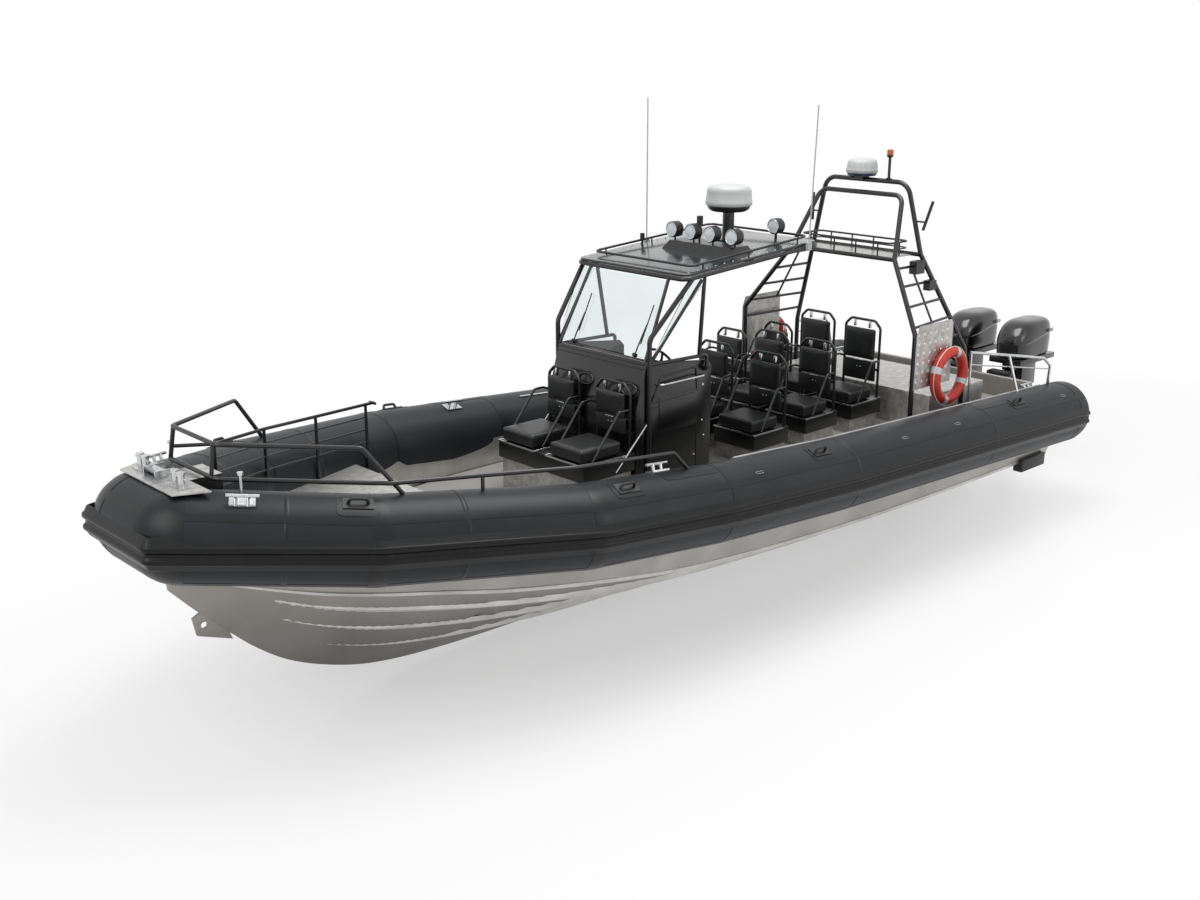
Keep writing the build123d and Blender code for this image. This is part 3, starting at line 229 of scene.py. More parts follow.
# %% [markdown]
# Seats are covered in marine vinyl: a soft black skin with a leather grain of about 4 mm. A cell pattern gives the
# small rounded pads of such a grain, where a cloudy one would look like cloth.
# %% Seat vinyl
seat_vinyl, tree, shader = start_material("marine_vinyl", "#131415", 0.42, specular_ior_level=0.5)
mottle(tree, shader, ("#101112", "#171819"), 130)
place = add(tree, "ShaderNodeTexCoord").outputs["Object"]
pores = add(tree, "ShaderNodeTexVoronoi", {"Vector": place, "Scale": 240.0}, feature="SMOOTH_F1")
grain(tree, shader, pores.outputs["Distance"], 0.6, 0.3)
print("seats in", seat_vinyl.name)

# %% [markdown]
# The small parts: polished stainless steel, white and amber mouldings, the lifebuoys' orange shell, and glass.
# Seen from this far each is told by its colour and its gloss, so each is one shader with two close tones.
# %% Finishes of the small parts
polished_steel, tree, shader = start_material("polished_stainless", "#c8c9ca", 0.16, 1.0)
mottle(tree, shader, ("#bfc0c1", "#d0d1d2"), 40)

white_shell, tree, shader = start_material("white_moulded_shell", "#b0b1b1", 0.45)
mottle(tree, shader, ("#abacac", "#b5b6b6"), 150)

blue_base, tree, shader = start_material("dark_blue_moulded_base", "#1d2a3c", 0.4)
mottle(tree, shader, ("#19253a", "#233044"), 80)

amber_lens, tree, shader = start_material("amber_lens", "#c06a18", 0.2, transmission_weight=0.25)
mottle(tree, shader, ("#b86010", "#cc7a22"), 30)

buoy_orange, tree, shader = start_material("lifebuoy_shell", "#b8281a", 0.4)
mottle(tree, shader, ("#ad2216", "#c2301e"), 90)

buoy_band, tree, shader = start_material("reflective_tape", "#b9bcbf", 0.3, 0.3)
mottle(tree, shader, ("#a9acaf", "#c9ccce"), 12)

rope_white, tree, shader = start_material("braided_line", "#d8d5cd", 0.8)
mottle(tree, shader, ("#c8c5bc", "#e2dfd8"), 8)

lamp_glass, tree, shader = start_material("lamp_lens", "#dfe6ea", 0.08, coat_weight=0.5)
mottle(tree, shader, ("#d2dade", "#e8eef1"), 15)

cabin_glass, tree, shader = start_material("tinted_safety_glass", "#e6eeee", 0.02, transmission_weight=1.0)
mottle(tree, shader, ("#e2ebeb", "#e8f0f0"), 600)

screen_black, tree, shader = start_material("instrument_screen", "#0d1418", 0.08, coat_weight=0.6)
mottle(tree, shader, ("#0a1013", "#111a1f"), 50)
print(len(bpy.data.materials), "materials")

# %% [markdown]
# The studio is a white room. The floor carries the shadow; rays that come straight from the camera see it almost
# white, as in the photograph, while the boat is lit by the room and by three large soft lamps.
# %% Studio
FLOOR_Z = -0.70


def seen_directly(tree):
    """1 for rays from the camera, off a glossy surface or through glass, and 0 for the rest."""
    path = add(tree, "ShaderNodeLightPath")
    seen = path.outputs["Is Camera Ray"]
    for kind in ("Is Glossy Ray", "Is Transmission Ray"):
        seen = add(tree, "ShaderNodeMath", {0: seen, 1: path.outputs[kind]}, operation="MAXIMUM").outputs["Value"]
    return seen


floor_mesh = bpy.data.meshes.new("studio_floor")
floor_mesh.from_pydata([(-90, -90, FLOOR_Z), (90, -90, FLOOR_Z), (90, 90, FLOOR_Z), (-90, 90, FLOOR_Z)], [],
                       [(0, 1, 2, 3)])
floor = bpy.data.objects.new("studio_floor", floor_mesh)
bpy.context.scene.collection.objects.link(floor)
studio_white = bpy.data.materials.new("studio_white")
studio_white.use_nodes = True
tree = studio_white.node_tree
shader = tree.nodes["Principled BSDF"]
shader.inputs["Base Color"].default_value = (0.82, 0.82, 0.82, 1)
shader.inputs["Roughness"].default_value = 0.35
# Painted light: the floor's white glow for camera rays grows with distance from the boat, from half near it to full
# far away, so the floor is painted whiter away from the boat and keeps its real shading only close to it.
place = add(tree, "ShaderNodeTexCoord").outputs["Object"]
squeezed = add(tree, "ShaderNodeVectorMath", {0: place, 1: (0.38, 1.0, 1.0)}, operation="MULTIPLY")
reach = add(tree, "ShaderNodeVectorMath", {0: squeezed.outputs["Vector"], 1: (1.9, 0.0, FLOOR_Z)}, operation="DISTANCE")
fade = add(tree, "ShaderNodeMapRange", {"Value": reach.outputs["Value"], "From Min": 1.4, "From Max": 4.8,
                                        "To Min": 0.5, "To Max": 1.0})
share = add(tree, "ShaderNodeMath", {0: seen_directly(tree), 1: fade.outputs["Result"]}, operation="MULTIPLY")
white = add(tree, "ShaderNodeEmission", {"Color": (1, 1, 1, 1), "Strength": 1.0})
mixed = add(tree, "ShaderNodeMixShader", {0: share.outputs["Value"], 1: shader.outputs["BSDF"],
                                         2: white.outputs["Emission"]})
tree.links.new(mixed.outputs["Shader"], tree.nodes["Material Output"].inputs["Surface"])
floor.data.materials.append(studio_white)

world = bpy.data.worlds.new("studio")
bpy.context.scene.world = world
world.use_nodes = True
tree = world.node_tree
level = add(tree, "ShaderNodeMapRange", {"Value": seen_directly(tree), "To Min": 0.5, "To Max": 1.0})
tree.links.new(level.outputs["Result"], tree.nodes["Background"].inputs["Strength"])
tree.nodes["Background"].inputs["Color"].default_value = (1, 1, 1, 1)

for name, place, aim, size, power in (
        ("overhead_lamp", (4.0, 0.5, 11.0), (4.5, 0, 0.5), 7.0, 1000),
        ("bow_lamp", (15.0, 1.0, 7.0), (6.0, 0, 0.8), 5.0, 260),
        ("port_lamp", (1.0, 12.0, 6.0), (3.5, 0, 0.8), 5.0, 200)):
    lamp = bpy.data.lights.new(name, "AREA")
    lamp.size = size
    lamp.energy = power
    holder = bpy.data.objects.new(name, lamp)
    holder.location = place
    holder.rotation_euler = (Vector(aim) - Vector(place)).to_track_quat("-Z", "Y").to_euler()
    bpy.context.scene.collection.objects.link(holder)
    print(name, power, "watts")

# %% [markdown]
# A piece can be pushed into shape by hand, or written as a list of corners and faces. Here it is written, because
# then every size can be read and changed. These helpers turn the list into an object with its material, and say
# which body it moves with and which nodes of the model it stands for.
# %% Making pieces


def settle(piece, body, replaced=()):
    """Ride on a body, and stand for some CAD nodes."""
    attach(piece, body)
    if replaced:
        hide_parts(*replaced)
    return piece


def from_mesh(name, mesh, finish, smooth=35):
    """An object from a finished mesh, shaded smooth except at corners sharper than an angle."""
    mesh.materials.clear()
    for each in (finish if isinstance(finish, (list, tuple)) else [finish]):
        mesh.materials.append(each)
    made = bpy.data.objects.new(name, mesh)
    bpy.context.scene.collection.objects.link(made)
    if smooth:
        mesh.shade_smooth()
        mesh.set_sharp_from_angle(angle=radians(smooth))
    return made


def shell(name, corners, faces, finish, smooth=35):
    """An object from corners and faces, with its faces turned outwards."""
    mesh = bpy.data.meshes.new(name)
    mesh.from_pydata([tuple(c) for c in corners], [], faces)
    tool = bmesh.new()
    tool.from_mesh(mesh)
    bmesh.ops.remove_doubles(tool, verts=tool.verts, dist=1e-5)
    bmesh.ops.recalc_face_normals(tool, faces=tool.faces)
    tool.to_mesh(mesh)
    tool.free()
    return from_mesh(name, mesh, finish, smooth)


def loops(rows, count, shut=True, ringed=False, first=0):
    """Faces between rows of corners. Each row is a closed loop; the ends are shut, or meet in a ring."""
    faces = []
    for row in range(rows if ringed else rows - 1):
        a, b = first + row * count, first + (row + 1) % rows * count
        faces += [(a + i, a + (i + 1) % count, b + (i + 1) % count, b + i) for i in range(count)]
    if shut and not ringed:
        faces.append(tuple(first + i for i in range(count - 1, -1, -1)))
        faces.append(tuple(first + (rows - 1) * count + i for i in range(count)))
    return faces


def joined(parts):
    """Corners and faces of several parts as one list."""
    corners, faces = [], []
    for more_corners, more_faces in parts:
        base = len(corners)
        corners += list(more_corners)
        faces += [tuple(i + base for i in face) for face in more_faces]
    return corners, faces


def baked(piece):
    """Replace a piece's live modifiers by their result."""
    graph = bpy.context.evaluated_depsgraph_get()
    mesh = bpy.data.meshes.new_from_object(piece.evaluated_get(graph))
    piece.modifiers.clear()
    old = piece.data
    piece.data = mesh
    if old.users == 0:
        bpy.data.meshes.remove(old)
    return piece


def dressed(node, finish, soften, smooth=40):
    """A copy of a CAD node's solid with its flat faces joined and its edges rounded."""
    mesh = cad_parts[node].data.copy()
    tool = bmesh.new()
    tool.from_mesh(mesh)
    bmesh.ops.remove_doubles(tool, verts=tool.verts, dist=2e-5)
    bmesh.ops.dissolve_limit(tool, angle_limit=radians(1.0), verts=tool.verts, edges=tool.edges)
    tool.to_mesh(mesh)
    tool.free()
    made = from_mesh(f"{node}_dressed", mesh, finish, 0)
    if soften:
        rounding = made.modifiers.new("soften", "BEVEL")
        rounding.width = soften
        rounding.segments = 3
        rounding.limit_method = "ANGLE"
        rounding.angle_limit = radians(35)
        rounding.use_clamp_overlap = True
        baked(made)
    made.data.shade_smooth()
    made.data.set_sharp_from_angle(angle=radians(smooth))
    return made


# %% [markdown]
# The collar runs round the bow in straight runs with mitred corners. Each piece that follows it, such as the skin,
# the rubbing strake and the taped seams, is one section carried along the same line, so one function does it.
# Corners are eased over a short arc, because air pressure rounds a glued mitre.
# %% Collar
TUBE_RADIUS = 0.36
STANDOFF = 0.025
STRAKE_CORNERS = [(0.0, 2.018), (4.49, 2.018), (6.23, 2.018), (7.75, 1.923), (9.523, 1.365), (11.0, 0.538)]
CORNER_EASE = 0.035


def sheer(x):
    """Height of the tube's centre."""
    return 0.384 + 0.763 * ((x + 2.4) / 13.4) ** 2


def inset(corners, distance):
    """Corners moved inboard, with the mitre at the bow last."""
    ends = corners + [(corners[-1][0], -corners[-1][1])]
    lines = []
    for (xa, ya), (xb, yb) in zip(ends, ends[1:]):
        run = hypot(xb - xa, yb - ya)
        ux, uy = (xb - xa) / run, (yb - ya) / run
        lines.append((xa + uy * distance, ya - ux * distance, ux, uy))
    moved = [lines[0][:2]]
    for (ax, ay, ux, uy), (bx, by, vx, vy) in zip(lines, lines[1:]):
        turn = ux * vy - uy * vx
        if abs(turn) < 1e-9:
            moved.append((bx, by))
        else:
            along = ((bx - ax) * vy - (by - ay) * vx) / turn
            moved.append((ax + along * ux, ay + along * uy))
    return moved


def collar_line(distance, step=0.12):
    """Points and directions round the collar from starboard stern to port stern, eased at the corners."""
    side = [Vector((x, y, sheer(cx))) for (x, y), (cx, _) in zip(inset(STRAKE_CORNERS, distance), STRAKE_CORNERS)]
    line = [Vector((p.x, -p.y, p.z)) for p in side] + side[::-1]
    points = [line[0]]
    for before, corner, after in zip(line, line[1:], line[2:]):
        back, ahead = (before - corner).normalized(), (after - corner).normalized()
        if back.angle(-ahead) < 0.01:
            points.append(corner)
            continue
        start, end = corner + back * CORNER_EASE, corner + ahead * CORNER_EASE
        for share in (0, 0.25, 0.5, 0.75, 1):
            points.append(start.lerp(corner, share).lerp(corner.lerp(end, share), share))
    points.append(line[-1])
    fine = []
    for a, b in zip(points, points[1:]):
        parts = max(1, ceil((b - a).length / step))
        fine += [a.lerp(b, i / parts) for i in range(parts)]
    fine.append(points[-1])
    directions = []
    for i, p in enumerate(fine):
        ahead = (fine[min(i + 1, len(fine) - 1)] - fine[max(i - 1, 0)]).normalized()
        directions.append(ahead)
    return list(zip(fine, directions))


def out_and_up(ahead):
    """The outboard and upward directions at a place where the collar runs ahead."""
    out = Vector((ahead.y, -ahead.x, 0)).normalized()
    return out, out.cross(ahead).normalized()


def carried(line, section):
    """Corners and faces of a closed section of (outboard, up) pairs carried along a line."""
    corners = []
    for point, ahead in line:
        out, up = out_and_up(ahead)
        corners += [point + out * across + up * height for across, height in section]
    return corners, loops(len(line), len(section))


def ring(radius, start, end, count):
    """Points of an arc, angles from outboard towards up."""
    turns = [radians(start + (end - start) * i / count) for i in range(count + 1)]
    return [(radius * cos(turn), radius * sin(turn)) for turn in turns]


centre_line = collar_line(TUBE_RADIUS + STANDOFF)
SIDES = 72
# How far behind the last full section each end ring lies, and its share of the tube's radius.
END_RINGS = [(-0.045, 0.975), (-0.08, 0.9), (-0.1, 0.82), (-0.109, 0.7)]
first, last = centre_line[0], centre_line[-1]
rows = [(first[0] + Vector((behind, 0, 0)), first[1], share * TUBE_RADIUS) for behind, share in reversed(END_RINGS)]
rows += [(p, d, TUBE_RADIUS) for p, d in centre_line]
rows += [(last[0] + Vector((behind, 0, 0)), last[1], share * TUBE_RADIUS) for behind, share in END_RINGS]
corners = []
for point, ahead, radius in rows:
    out, up = out_and_up(ahead)
    corners += [point + out * (radius * cos(2 * pi * i / SIDES)) + up * (radius * sin(2 * pi * i / SIDES))
                for i in range(SIDES)]
collar = shell("collar_skin", corners, loops(len(rows), SIDES), tube_cloth, 50)
settle(collar, "boat", ["tube_collar"])
print("collar", len(collar.data.polygons), "faces")

# %% [markdown]
# The rubbing strake takes the knocks of a quay. It is an extruded rubber section, with two round ridges, a hollow
# between them and thin glued lips. It is made as the real one is: one section, drawn once and carried round.
# %% Rubbing strake
strake_section = ([(-0.030, 0.128), (-0.012, 0.118)]
                  + [(0.002 + a * 0.9, 0.0475 + b) for a, b in ring(0.030, 75, -60, 8)]
                  + [(0.006, 0.012), (0.006, -0.012)]
                  + [(0.002 + a * 0.9, -0.0475 + b) for a, b in ring(0.030, 60, -75, 8)]
                  + [(-0.012, -0.118), (-0.030, -0.128), (-0.05, -0.1), (-0.05, 0.1)])
strake = carried(collar_line(STANDOFF), [(a - 0.004, b) for a, b in strake_section])
settle(shell("rubbing_strake", *strake, strake_rubber, 50), "boat", ["rub_strake"])
print("strake", len(strake[1]), "faces")

# %% [markdown]
# Seams are lapped and taped. One tape runs the whole length above the strake; the others go round the tube where
# its panels meet, and over the mitred corners towards the bow. Painted lines would lie flat, so each tape is real
# and stands a little off the skin, where its edge can catch the light.
# %% Seam tapes
TAPE = 0.0025  # how far a tape stands off the skin


def tape_along(start_angle, end_angle):
    """A tape on the skin between two angles, the whole way round the boat."""
    outer = ring(TUBE_RADIUS + TAPE, start_angle, end_angle, 4)
    inner = ring(TUBE_RADIUS - 0.004, end_angle, start_angle, 4)
    return carried(centre_line, outer + inner)


def on_collar(x, side):
    """The tube's centre at a distance forward, with its directions along, outboard and up."""
    stations = [(p, d) for p, d in centre_line if (p.y > 0) == (side > 0)]
    stations.sort(key=lambda s: s[0].x)
    (pa, da), (pb, db) = next((a, b) for a, b in zip(stations, stations[1:]) if a[0].x <= x <= b[0].x)
    share = (x - pa.x) / max(pb.x - pa.x, 1e-6)
    point, ahead = pa.lerp(pb, share), da.lerp(db, share).normalized()
    return point, ahead, *out_and_up(ahead)


def tape_round(x, width, side):
    """A tape round the tube at a distance forward."""
    point, ahead, out, up = on_collar(x, side)
    rows = [(-width / 2, TUBE_RADIUS - 0.002), (-width / 2 + 0.004, TUBE_RADIUS + TAPE),
            (width / 2 - 0.004, TUBE_RADIUS + TAPE), (width / 2, TUBE_RADIUS - 0.002)]
    turns = [2 * pi * i / SIDES for i in range(SIDES)]
    corners = [point + ahead * along + out * (radius * cos(turn)) + up * (radius * sin(turn))
               for along, radius in rows for turn in turns]
    return corners, loops(len(rows), SIDES, shut=False)


def tape_on_mitre(corner, reach=0.05):
    """A tape that follows the skin over a mitred corner."""
    run = [(p, d) for p, d in centre_line if (p - corner).length < CORNER_EASE + 0.005]
    (a, da), (b, db) = run[0], run[-1]
    run = [(a - da * (reach - CORNER_EASE), da)] + run + [(b + db * (reach - CORNER_EASE), db)]
    return carried(run, ring(TUBE_RADIUS + TAPE, 0, 355, 71))


tapes = [tape_along(38, 48), tape_along(-62, -50)]
ROUND_TAPES = ((0.12, 0.05), (2.0, 0.035), (4.45, 0.05), (8.75, 0.045), (9.95, 0.045))
both = (-1, 1)
tapes += [tape_round(x, width, side) for side in both for x, width in ROUND_TAPES]
tube_corners = inset(STRAKE_CORNERS, TUBE_RADIUS + STANDOFF)
for (x, y), (corner_x, _) in list(zip(tube_corners, STRAKE_CORNERS))[2:]:
    tapes += [tape_on_mitre(Vector((x, side * y, sheer(corner_x)))) for side in both]
settle(shell("tube_seams", *joined(tapes), seam_cloth, 50), "boat")
print(len(tapes), "tapes")

# %% [markdown]
# Handles sit on glued patches of the same fabric with round corners, and small drain slots have bright rims;
# inside each rim a black sheet is painted shade for the dark opening. All are thin plates bent to the tube, so one
# function lays a rounded rectangle on the skin.
# %% Patches, slots and strips


def skin_patch(x, side, angle, length, width, corner, lift):
    """A rounded rectangle on the skin, some degrees above the tube's outboard side."""
    point, ahead, out, up = on_collar(x, side)
    rows = []
    for i in range(13):
        across = width * (i / 12 - 0.5)
        over = max(abs(across) - (width / 2 - corner), 0)
        half = length / 2 - corner + sqrt(max(corner ** 2 - over ** 2, 0))
        turn = radians(angle) + across / TUBE_RADIUS
        away = out * cos(turn) + up * sin(turn)
        rows.append([point + ahead * along + away * radius for along, radius in
                     ((-half - 0.001, TUBE_RADIUS - 0.002), (-half, TUBE_RADIUS + lift),
                      (half, TUBE_RADIUS + lift), (half + 0.001, TUBE_RADIUS - 0.002))])
    corners = [corner for row in rows for corner in row]
    faces = [(r * 4 + i, r * 4 + i + 1, r * 4 + i + 5, r * 4 + i + 4) for r in range(12) for i in range(3)]
    faces += [(3, 2, 1, 0), (48, 49, 50, 51)]
    faces += [(r * 4, r * 4 + 4, r * 4 + 7, r * 4 + 3) for r in range(12)]
    return corners, faces


HANDLE_PLACES = (1.32, 4.88, 7.36, 9.50)
SLOT_PLACES = (0.40, 2.62, 3.58, 5.84)
patches = joined([skin_patch(x, side, 66, 0.32, 0.21, 0.04, 0.004) for x in HANDLE_PLACES for side in both]
                 + [skin_patch(x, side, 80, 0.62, 0.16, 0.03, 0.003) for x in (1.75, 6.6) for side in both])
settle(shell("handle_patches", *patches, seam_cloth, 40), "boat")
rims = joined([skin_patch(x, side, 52, 0.095, 0.027, 0.007, 0.004) for x in SLOT_PLACES for side in both])
settle(shell("slot_rims", *rims, polished_steel, 40), "boat")
# Painted shade: a black sheet inside each rim stands for the dark inside of the slot.
slot_shade_sheets = joined([skin_patch(x, side, 52, 0.086, 0.019, 0.005, 0.0065) for x in SLOT_PLACES for side in both])
settle(shell("drain_slot_painted_shade", *slot_shade_sheets, moulded_black, 40), "boat")
strips = []
for side in both:
    run = [(p, d) for p, d in centre_line if (p.y > 0) == (side > 0) and 0.35 < p.x < 5.9]
    strips.append(carried(run, ring(TUBE_RADIUS + 0.012, 107, 110, 2) + ring(TUBE_RADIUS - 0.004, 110, 107, 2)))
settle(shell("gunwale_strips", *joined(strips), bare_alloy, 40), "boat")
print(len(HANDLE_PLACES) * 2, "handle patches,", len(SLOT_PLACES) * 2, "slot_shade_sheets")

# %% [markdown]
# The hull is plated in aluminium with hard chines. Its sections are drawn through a few stations and eased
# between them along the boat, which gives the plates their long even curves.
# %% Hull plating
# Stations, stern to stem: x, keel z, chine y, chine z, side y, side z, top y, top z
HULL_STATIONS = [
    (0.0, -0.680, 1.490, -0.160, 1.600, 0.110, 1.275, 0.432),
    (3.75, -0.690, 1.500, -0.105, 1.600, 0.215, 1.275, 0.432),
    (6.2, -0.690, 1.480, 0.045, 1.590, 0.330, 1.275, 0.432),
    (7.33, -0.680, 1.390, 0.180, 1.510, 0.440, 1.230, 0.432),
    (8.2, -0.645, 1.205, 0.290, 1.330, 0.520, 1.060, 0.432),
    (8.8, -0.575, 0.985, 0.375, 1.130, 0.580, 0.930, 0.620),
    (9.2, -0.465, 0.815, 0.425, 0.990, 0.620, 0.830, 0.680),
    (9.6, -0.290, 0.630, 0.490, 0.830, 0.670, 0.660, 0.740),
    (9.9, -0.080, 0.440, 0.550, 0.660, 0.720, 0.500, 0.790),
    (10.19, 0.190, 0.250, 0.620, 0.480, 0.770, 0.340, 0.840),
    (10.4, 0.400, 0.140, 0.690, 0.330, 0.800, 0.230, 0.870),
    (10.6, 0.620, 0.050, 0.750, 0.150, 0.830, 0.090, 0.890),
]


def between(rows, place):
    """The values of a table at any place in its first column, on smooth curves through the listed ones."""
    i = next((k for k in range(len(rows) - 1) if rows[k][0] <= place <= rows[k + 1][0]), len(rows) - 2)
    a, b = rows[i], rows[i + 1]
    before, after = rows[max(i - 1, 0)], rows[min(i + 2, len(rows) - 1)]
    run = b[0] - a[0]
    t = (place - a[0]) / run
    values = []
    for k in range(1, len(a)):
        slope_a, slope_b = (b[k] - before[k]) / (b[0] - before[0]), (after[k] - a[k]) / (after[0] - a[0])
        values.append((2 * t ** 3 - 3 * t ** 2 + 1) * a[k] + (t ** 3 - 2 * t ** 2 + t) * run * slope_a
                      + (3 * t ** 2 - 2 * t ** 3) * b[k] + (t ** 3 - t ** 2) * run * slope_b)
    return values


stops = [i * 0.25 for i in range(33)] + [8.2 + i * 0.08 for i in range(1, 31)]
corners = []
for x in stops:
    keel_z, chine_y, chine_z, side_y, side_z, top_y, top_z = between(HULL_STATIONS, x)
    half = [(0.012, keel_z - 0.004), (chine_y, chine_z), (chine_y + 0.004, chine_z + 0.012), (side_y, side_z),
            (top_y, top_z)]
    section = [(y, z) for y, z in half] + [(-y, z) for y, z in reversed(half)]
    corners += [(x, y, z) for y, z in section]
plating = shell("hull_plating", corners, loops(len(stops), len(section)), [hull_alloy, topside_alloy], 22)
STEM_X = HULL_STATIONS[-1][0]
# Plates below the chine take the hull finish, with its painted shade towards the bottom; the side plates take the
# topside finish.
for plate in plating.data.polygons:
    _, chine_y, chine_z = between(HULL_STATIONS, min(plate.center.x, STEM_X))[:3]
    plate.material_index = int(plate.center.z > chine_z + 0.004 and abs(plate.center.y) > 0.85 * chine_y)
settle(plating, "boat", ["hull"])
print("hull", len(plating.data.polygons), "plates")

# %% [markdown]
# Spray rails are pressed wedges welded along the bottom. Their outer face stands almost plumb and catches the
# light, which draws the long bright lines under the hull. A section of five corners follows the bottom's slope and
# shrinks towards the bow. A curve with a bevel would not keep its top flat on the plates.
# %% Spray rails
# Each rail's share of the way out to the chine, and where it ends.
RAIL_SHARES = ((0.82, 9.9), (0.56, 9.8), (0.30, 9.5))


def spray_rail(share, end_x, side):
    """Corners and faces of one rail."""
    stops = [0.3 + i * (end_x - 0.3) / 60 for i in range(61)]
    corners = []
    for x in stops:
        keel_z, chine_y, chine_z = between(HULL_STATIONS, x)[:3]
        slope = (chine_z - keel_z) / chine_y
        fade = min(1.0, (end_x - x) / 2.6 + 0.06)
        y = chine_y * share
        z = keel_z + slope * y
        width, drop = 0.12 * fade, 0.055 * fade
        section = [(y + 0.012, z + 0.016), (y + 0.006, z - drop * 0.75), (y - 0.004, z - drop),
                   (y - width, z - slope * width - 0.001), (y - width, z - slope * width + 0.02)]
        corners += [(x, side * a, b) for a, b in section]
    return corners, loops(len(stops), len(section))


rails = [spray_rail(share, end_x, side) for share, end_x in RAIL_SHARES for side in both]
settle(shell("spray_rail_wedges", *joined(rails), bare_alloy, 30), "boat", ["spray_rails"])
print(len(rails), "spray rails")

# %% [markdown]
# Rivets, screws and studs are one small head repeated many times. Geometry nodes stand a flat-topped head on every
# point of a mesh, turned to the direction stored with the point, so one size changes all of a row at once.
# %% Screw and rivet heads


def head_tree(finish):
    """Geometry nodes that put a head on every point, with named sizes."""
    tree = bpy.data.node_groups.new(f"heads_in_{finish.name}", "GeometryNodeTree")
    tree.interface.new_socket("Points", in_out="INPUT", socket_type="NodeSocketGeometry")
    for size in ("Radius", "Height"):
        tree.interface.new_socket(size, in_out="INPUT", socket_type="NodeSocketFloat")
    tree.interface.new_socket("Heads", in_out="OUTPUT", socket_type="NodeSocketGeometry")
    given = add(tree, "NodeGroupInput")
    top = add(tree, "ShaderNodeMath", {0: given.outputs["Radius"], 1: 0.7}, operation="MULTIPLY")
    head = add(tree, "GeometryNodeMeshCone", {"Vertices": 10, "Radius Top": top.outputs["Value"],
                                              "Radius Bottom": given.outputs["Radius"],
                                              "Depth": given.outputs["Height"]})
    facing = add(tree, "GeometryNodeInputNamedAttribute", data_type="FLOAT_VECTOR")
    facing.inputs["Name"].default_value = "facing"
    turn = add(tree, "FunctionNodeAlignRotationToVector", {"Vector": facing.outputs["Attribute"]}, axis="Z")
    placed = add(tree, "GeometryNodeInstanceOnPoints", {"Points": given.outputs["Points"],
                                                        "Instance": head.outputs["Mesh"],
                                                        "Rotation": turn.outputs["Rotation"]})
    real = add(tree, "GeometryNodeRealizeInstances", {"Geometry": placed.outputs["Instances"]})
    coated = add(tree, "GeometryNodeSetMaterial", {"Geometry": real.outputs["Geometry"], "Material": finish})
    add(tree, "NodeGroupOutput", {"Heads": coated.outputs["Geometry"]})
    return tree


def heads(name, places, radius, height, finish, body="boat"):
    """Heads at a list of (point, direction) places."""
    mesh = bpy.data.meshes.new(name)
    mesh.from_pydata([tuple(point) for point, _ in places], [], [])
    facing = mesh.attributes.new("facing", "FLOAT_VECTOR", "POINT")
    for i, (_, direction) in enumerate(places):
        facing.data[i].vector = direction
    made = bpy.data.objects.new(name, mesh)
    bpy.context.scene.collection.objects.link(made)
    live = made.modifiers.new("heads", "NODES")
    live.node_group = head_tree(finish)
    for item in live.node_group.interface.items_tree:
        if item.name in ("Radius", "Height"):
            live[item.identifier] = radius if item.name == "Radius" else height
    baked(made)
    print(name, len(places))
    return settle(made, body)


# %% [markdown]
# Along each chine, the hard corner between side and bottom, a bright flange covers the welded edge, with a row of
# rivets. It takes its places from the same table as the hull, so it can't drift off the plates.
# %% Chine flanges
flanges, rivets = [], []
FLANGE_STOPS = [i * 0.1 for i in range(103)]
for side in both:
    corners = []
    for x in FLANGE_STOPS:
        _, chine_y, chine_z, side_y, side_z = between(HULL_STATIONS, x)[:5]
        up = Vector((0, side_y - chine_y, side_z - chine_z)).normalized()
        away = Vector((0, up.z, -up.y))
        low = Vector((x, chine_y, chine_z))
        section = [low + up * 0.038 - away * 0.01, low + up * 0.036 + away * 0.006,
                   low - up * 0.002 + away * 0.010, low - up * 0.010 - away * 0.01]
        corners += [Vector((p.x, p.y * side, p.z)) for p in section]
        spot = low + up * 0.02 + away * 0.007
        rivets.append((Vector((spot.x, spot.y * side, spot.z)), Vector((0, away.y * side, away.z))))
    flanges.append((corners, loops(len(FLANGE_STOPS), len(section))))
settle(shell("hull_flanges", *joined(flanges), bare_alloy, 30), "boat")
heads("flange_rivets", rivets, 0.007, 0.004, bare_alloy)

# %% [markdown]
# Each seat is a foam cushion and a foam back under black vinyl. A cover pulled over foam bulges between its
# edges, so one cushion and one back are blown up a little with cloth pressure, and each seat takes a copy cut to
# its own size.
# %% Seats
SEATS = [
    # hoop x, y, cushion top, hoop top, width, depth
    (6.200, -0.350, 1.080, 1.610, 0.47, 0.53), (6.200, 0.350, 1.080, 1.610, 0.47, 0.53),
    (3.960, -0.370, 0.920, 1.535, 0.50, 0.42), (3.960, 0.370, 0.920, 1.535, 0.50, 0.42),
    (3.070, -0.330, 0.920, 1.535, 0.50, 0.42), (3.070, 0.330, 0.920, 1.535, 0.50, 0.42),
    (3.070, -0.930, 0.920, 1.470, 0.46, 0.42), (2.250, -0.320, 0.920, 1.660, 0.50, 0.42),
    (2.250, 0.320, 0.920, 1.660, 0.50, 0.42), (2.250, -0.910, 0.920, 1.430, 0.44, 0.42),
]
CUSHION = (0.52, 0.48, 0.138)
BACK = (0.048, 0.38, 0.34)


def foam_block(size, rounding, voxel):
    """A box of foam with rounded edges, in even small faces, centred on the origin."""
    tool = bmesh.new()
    bmesh.ops.create_cube(tool, size=1.0)
    bmesh.ops.scale(tool, vec=[s - 0.012 for s in size], verts=tool.verts)
    bmesh.ops.bevel(tool, geom=list(tool.edges), offset=rounding, segments=4, profile=0.5, affect="EDGES")
    mesh = bpy.data.meshes.new("foam")
    tool.to_mesh(mesh)
    tool.free()
    block = bpy.data.objects.new("foam", mesh)
    bpy.context.scene.collection.objects.link(block)
    remesh = block.modifiers.new("even", "REMESH")
    remesh.mode = "VOXEL"
    remesh.voxel_size = voxel
    return baked(block)


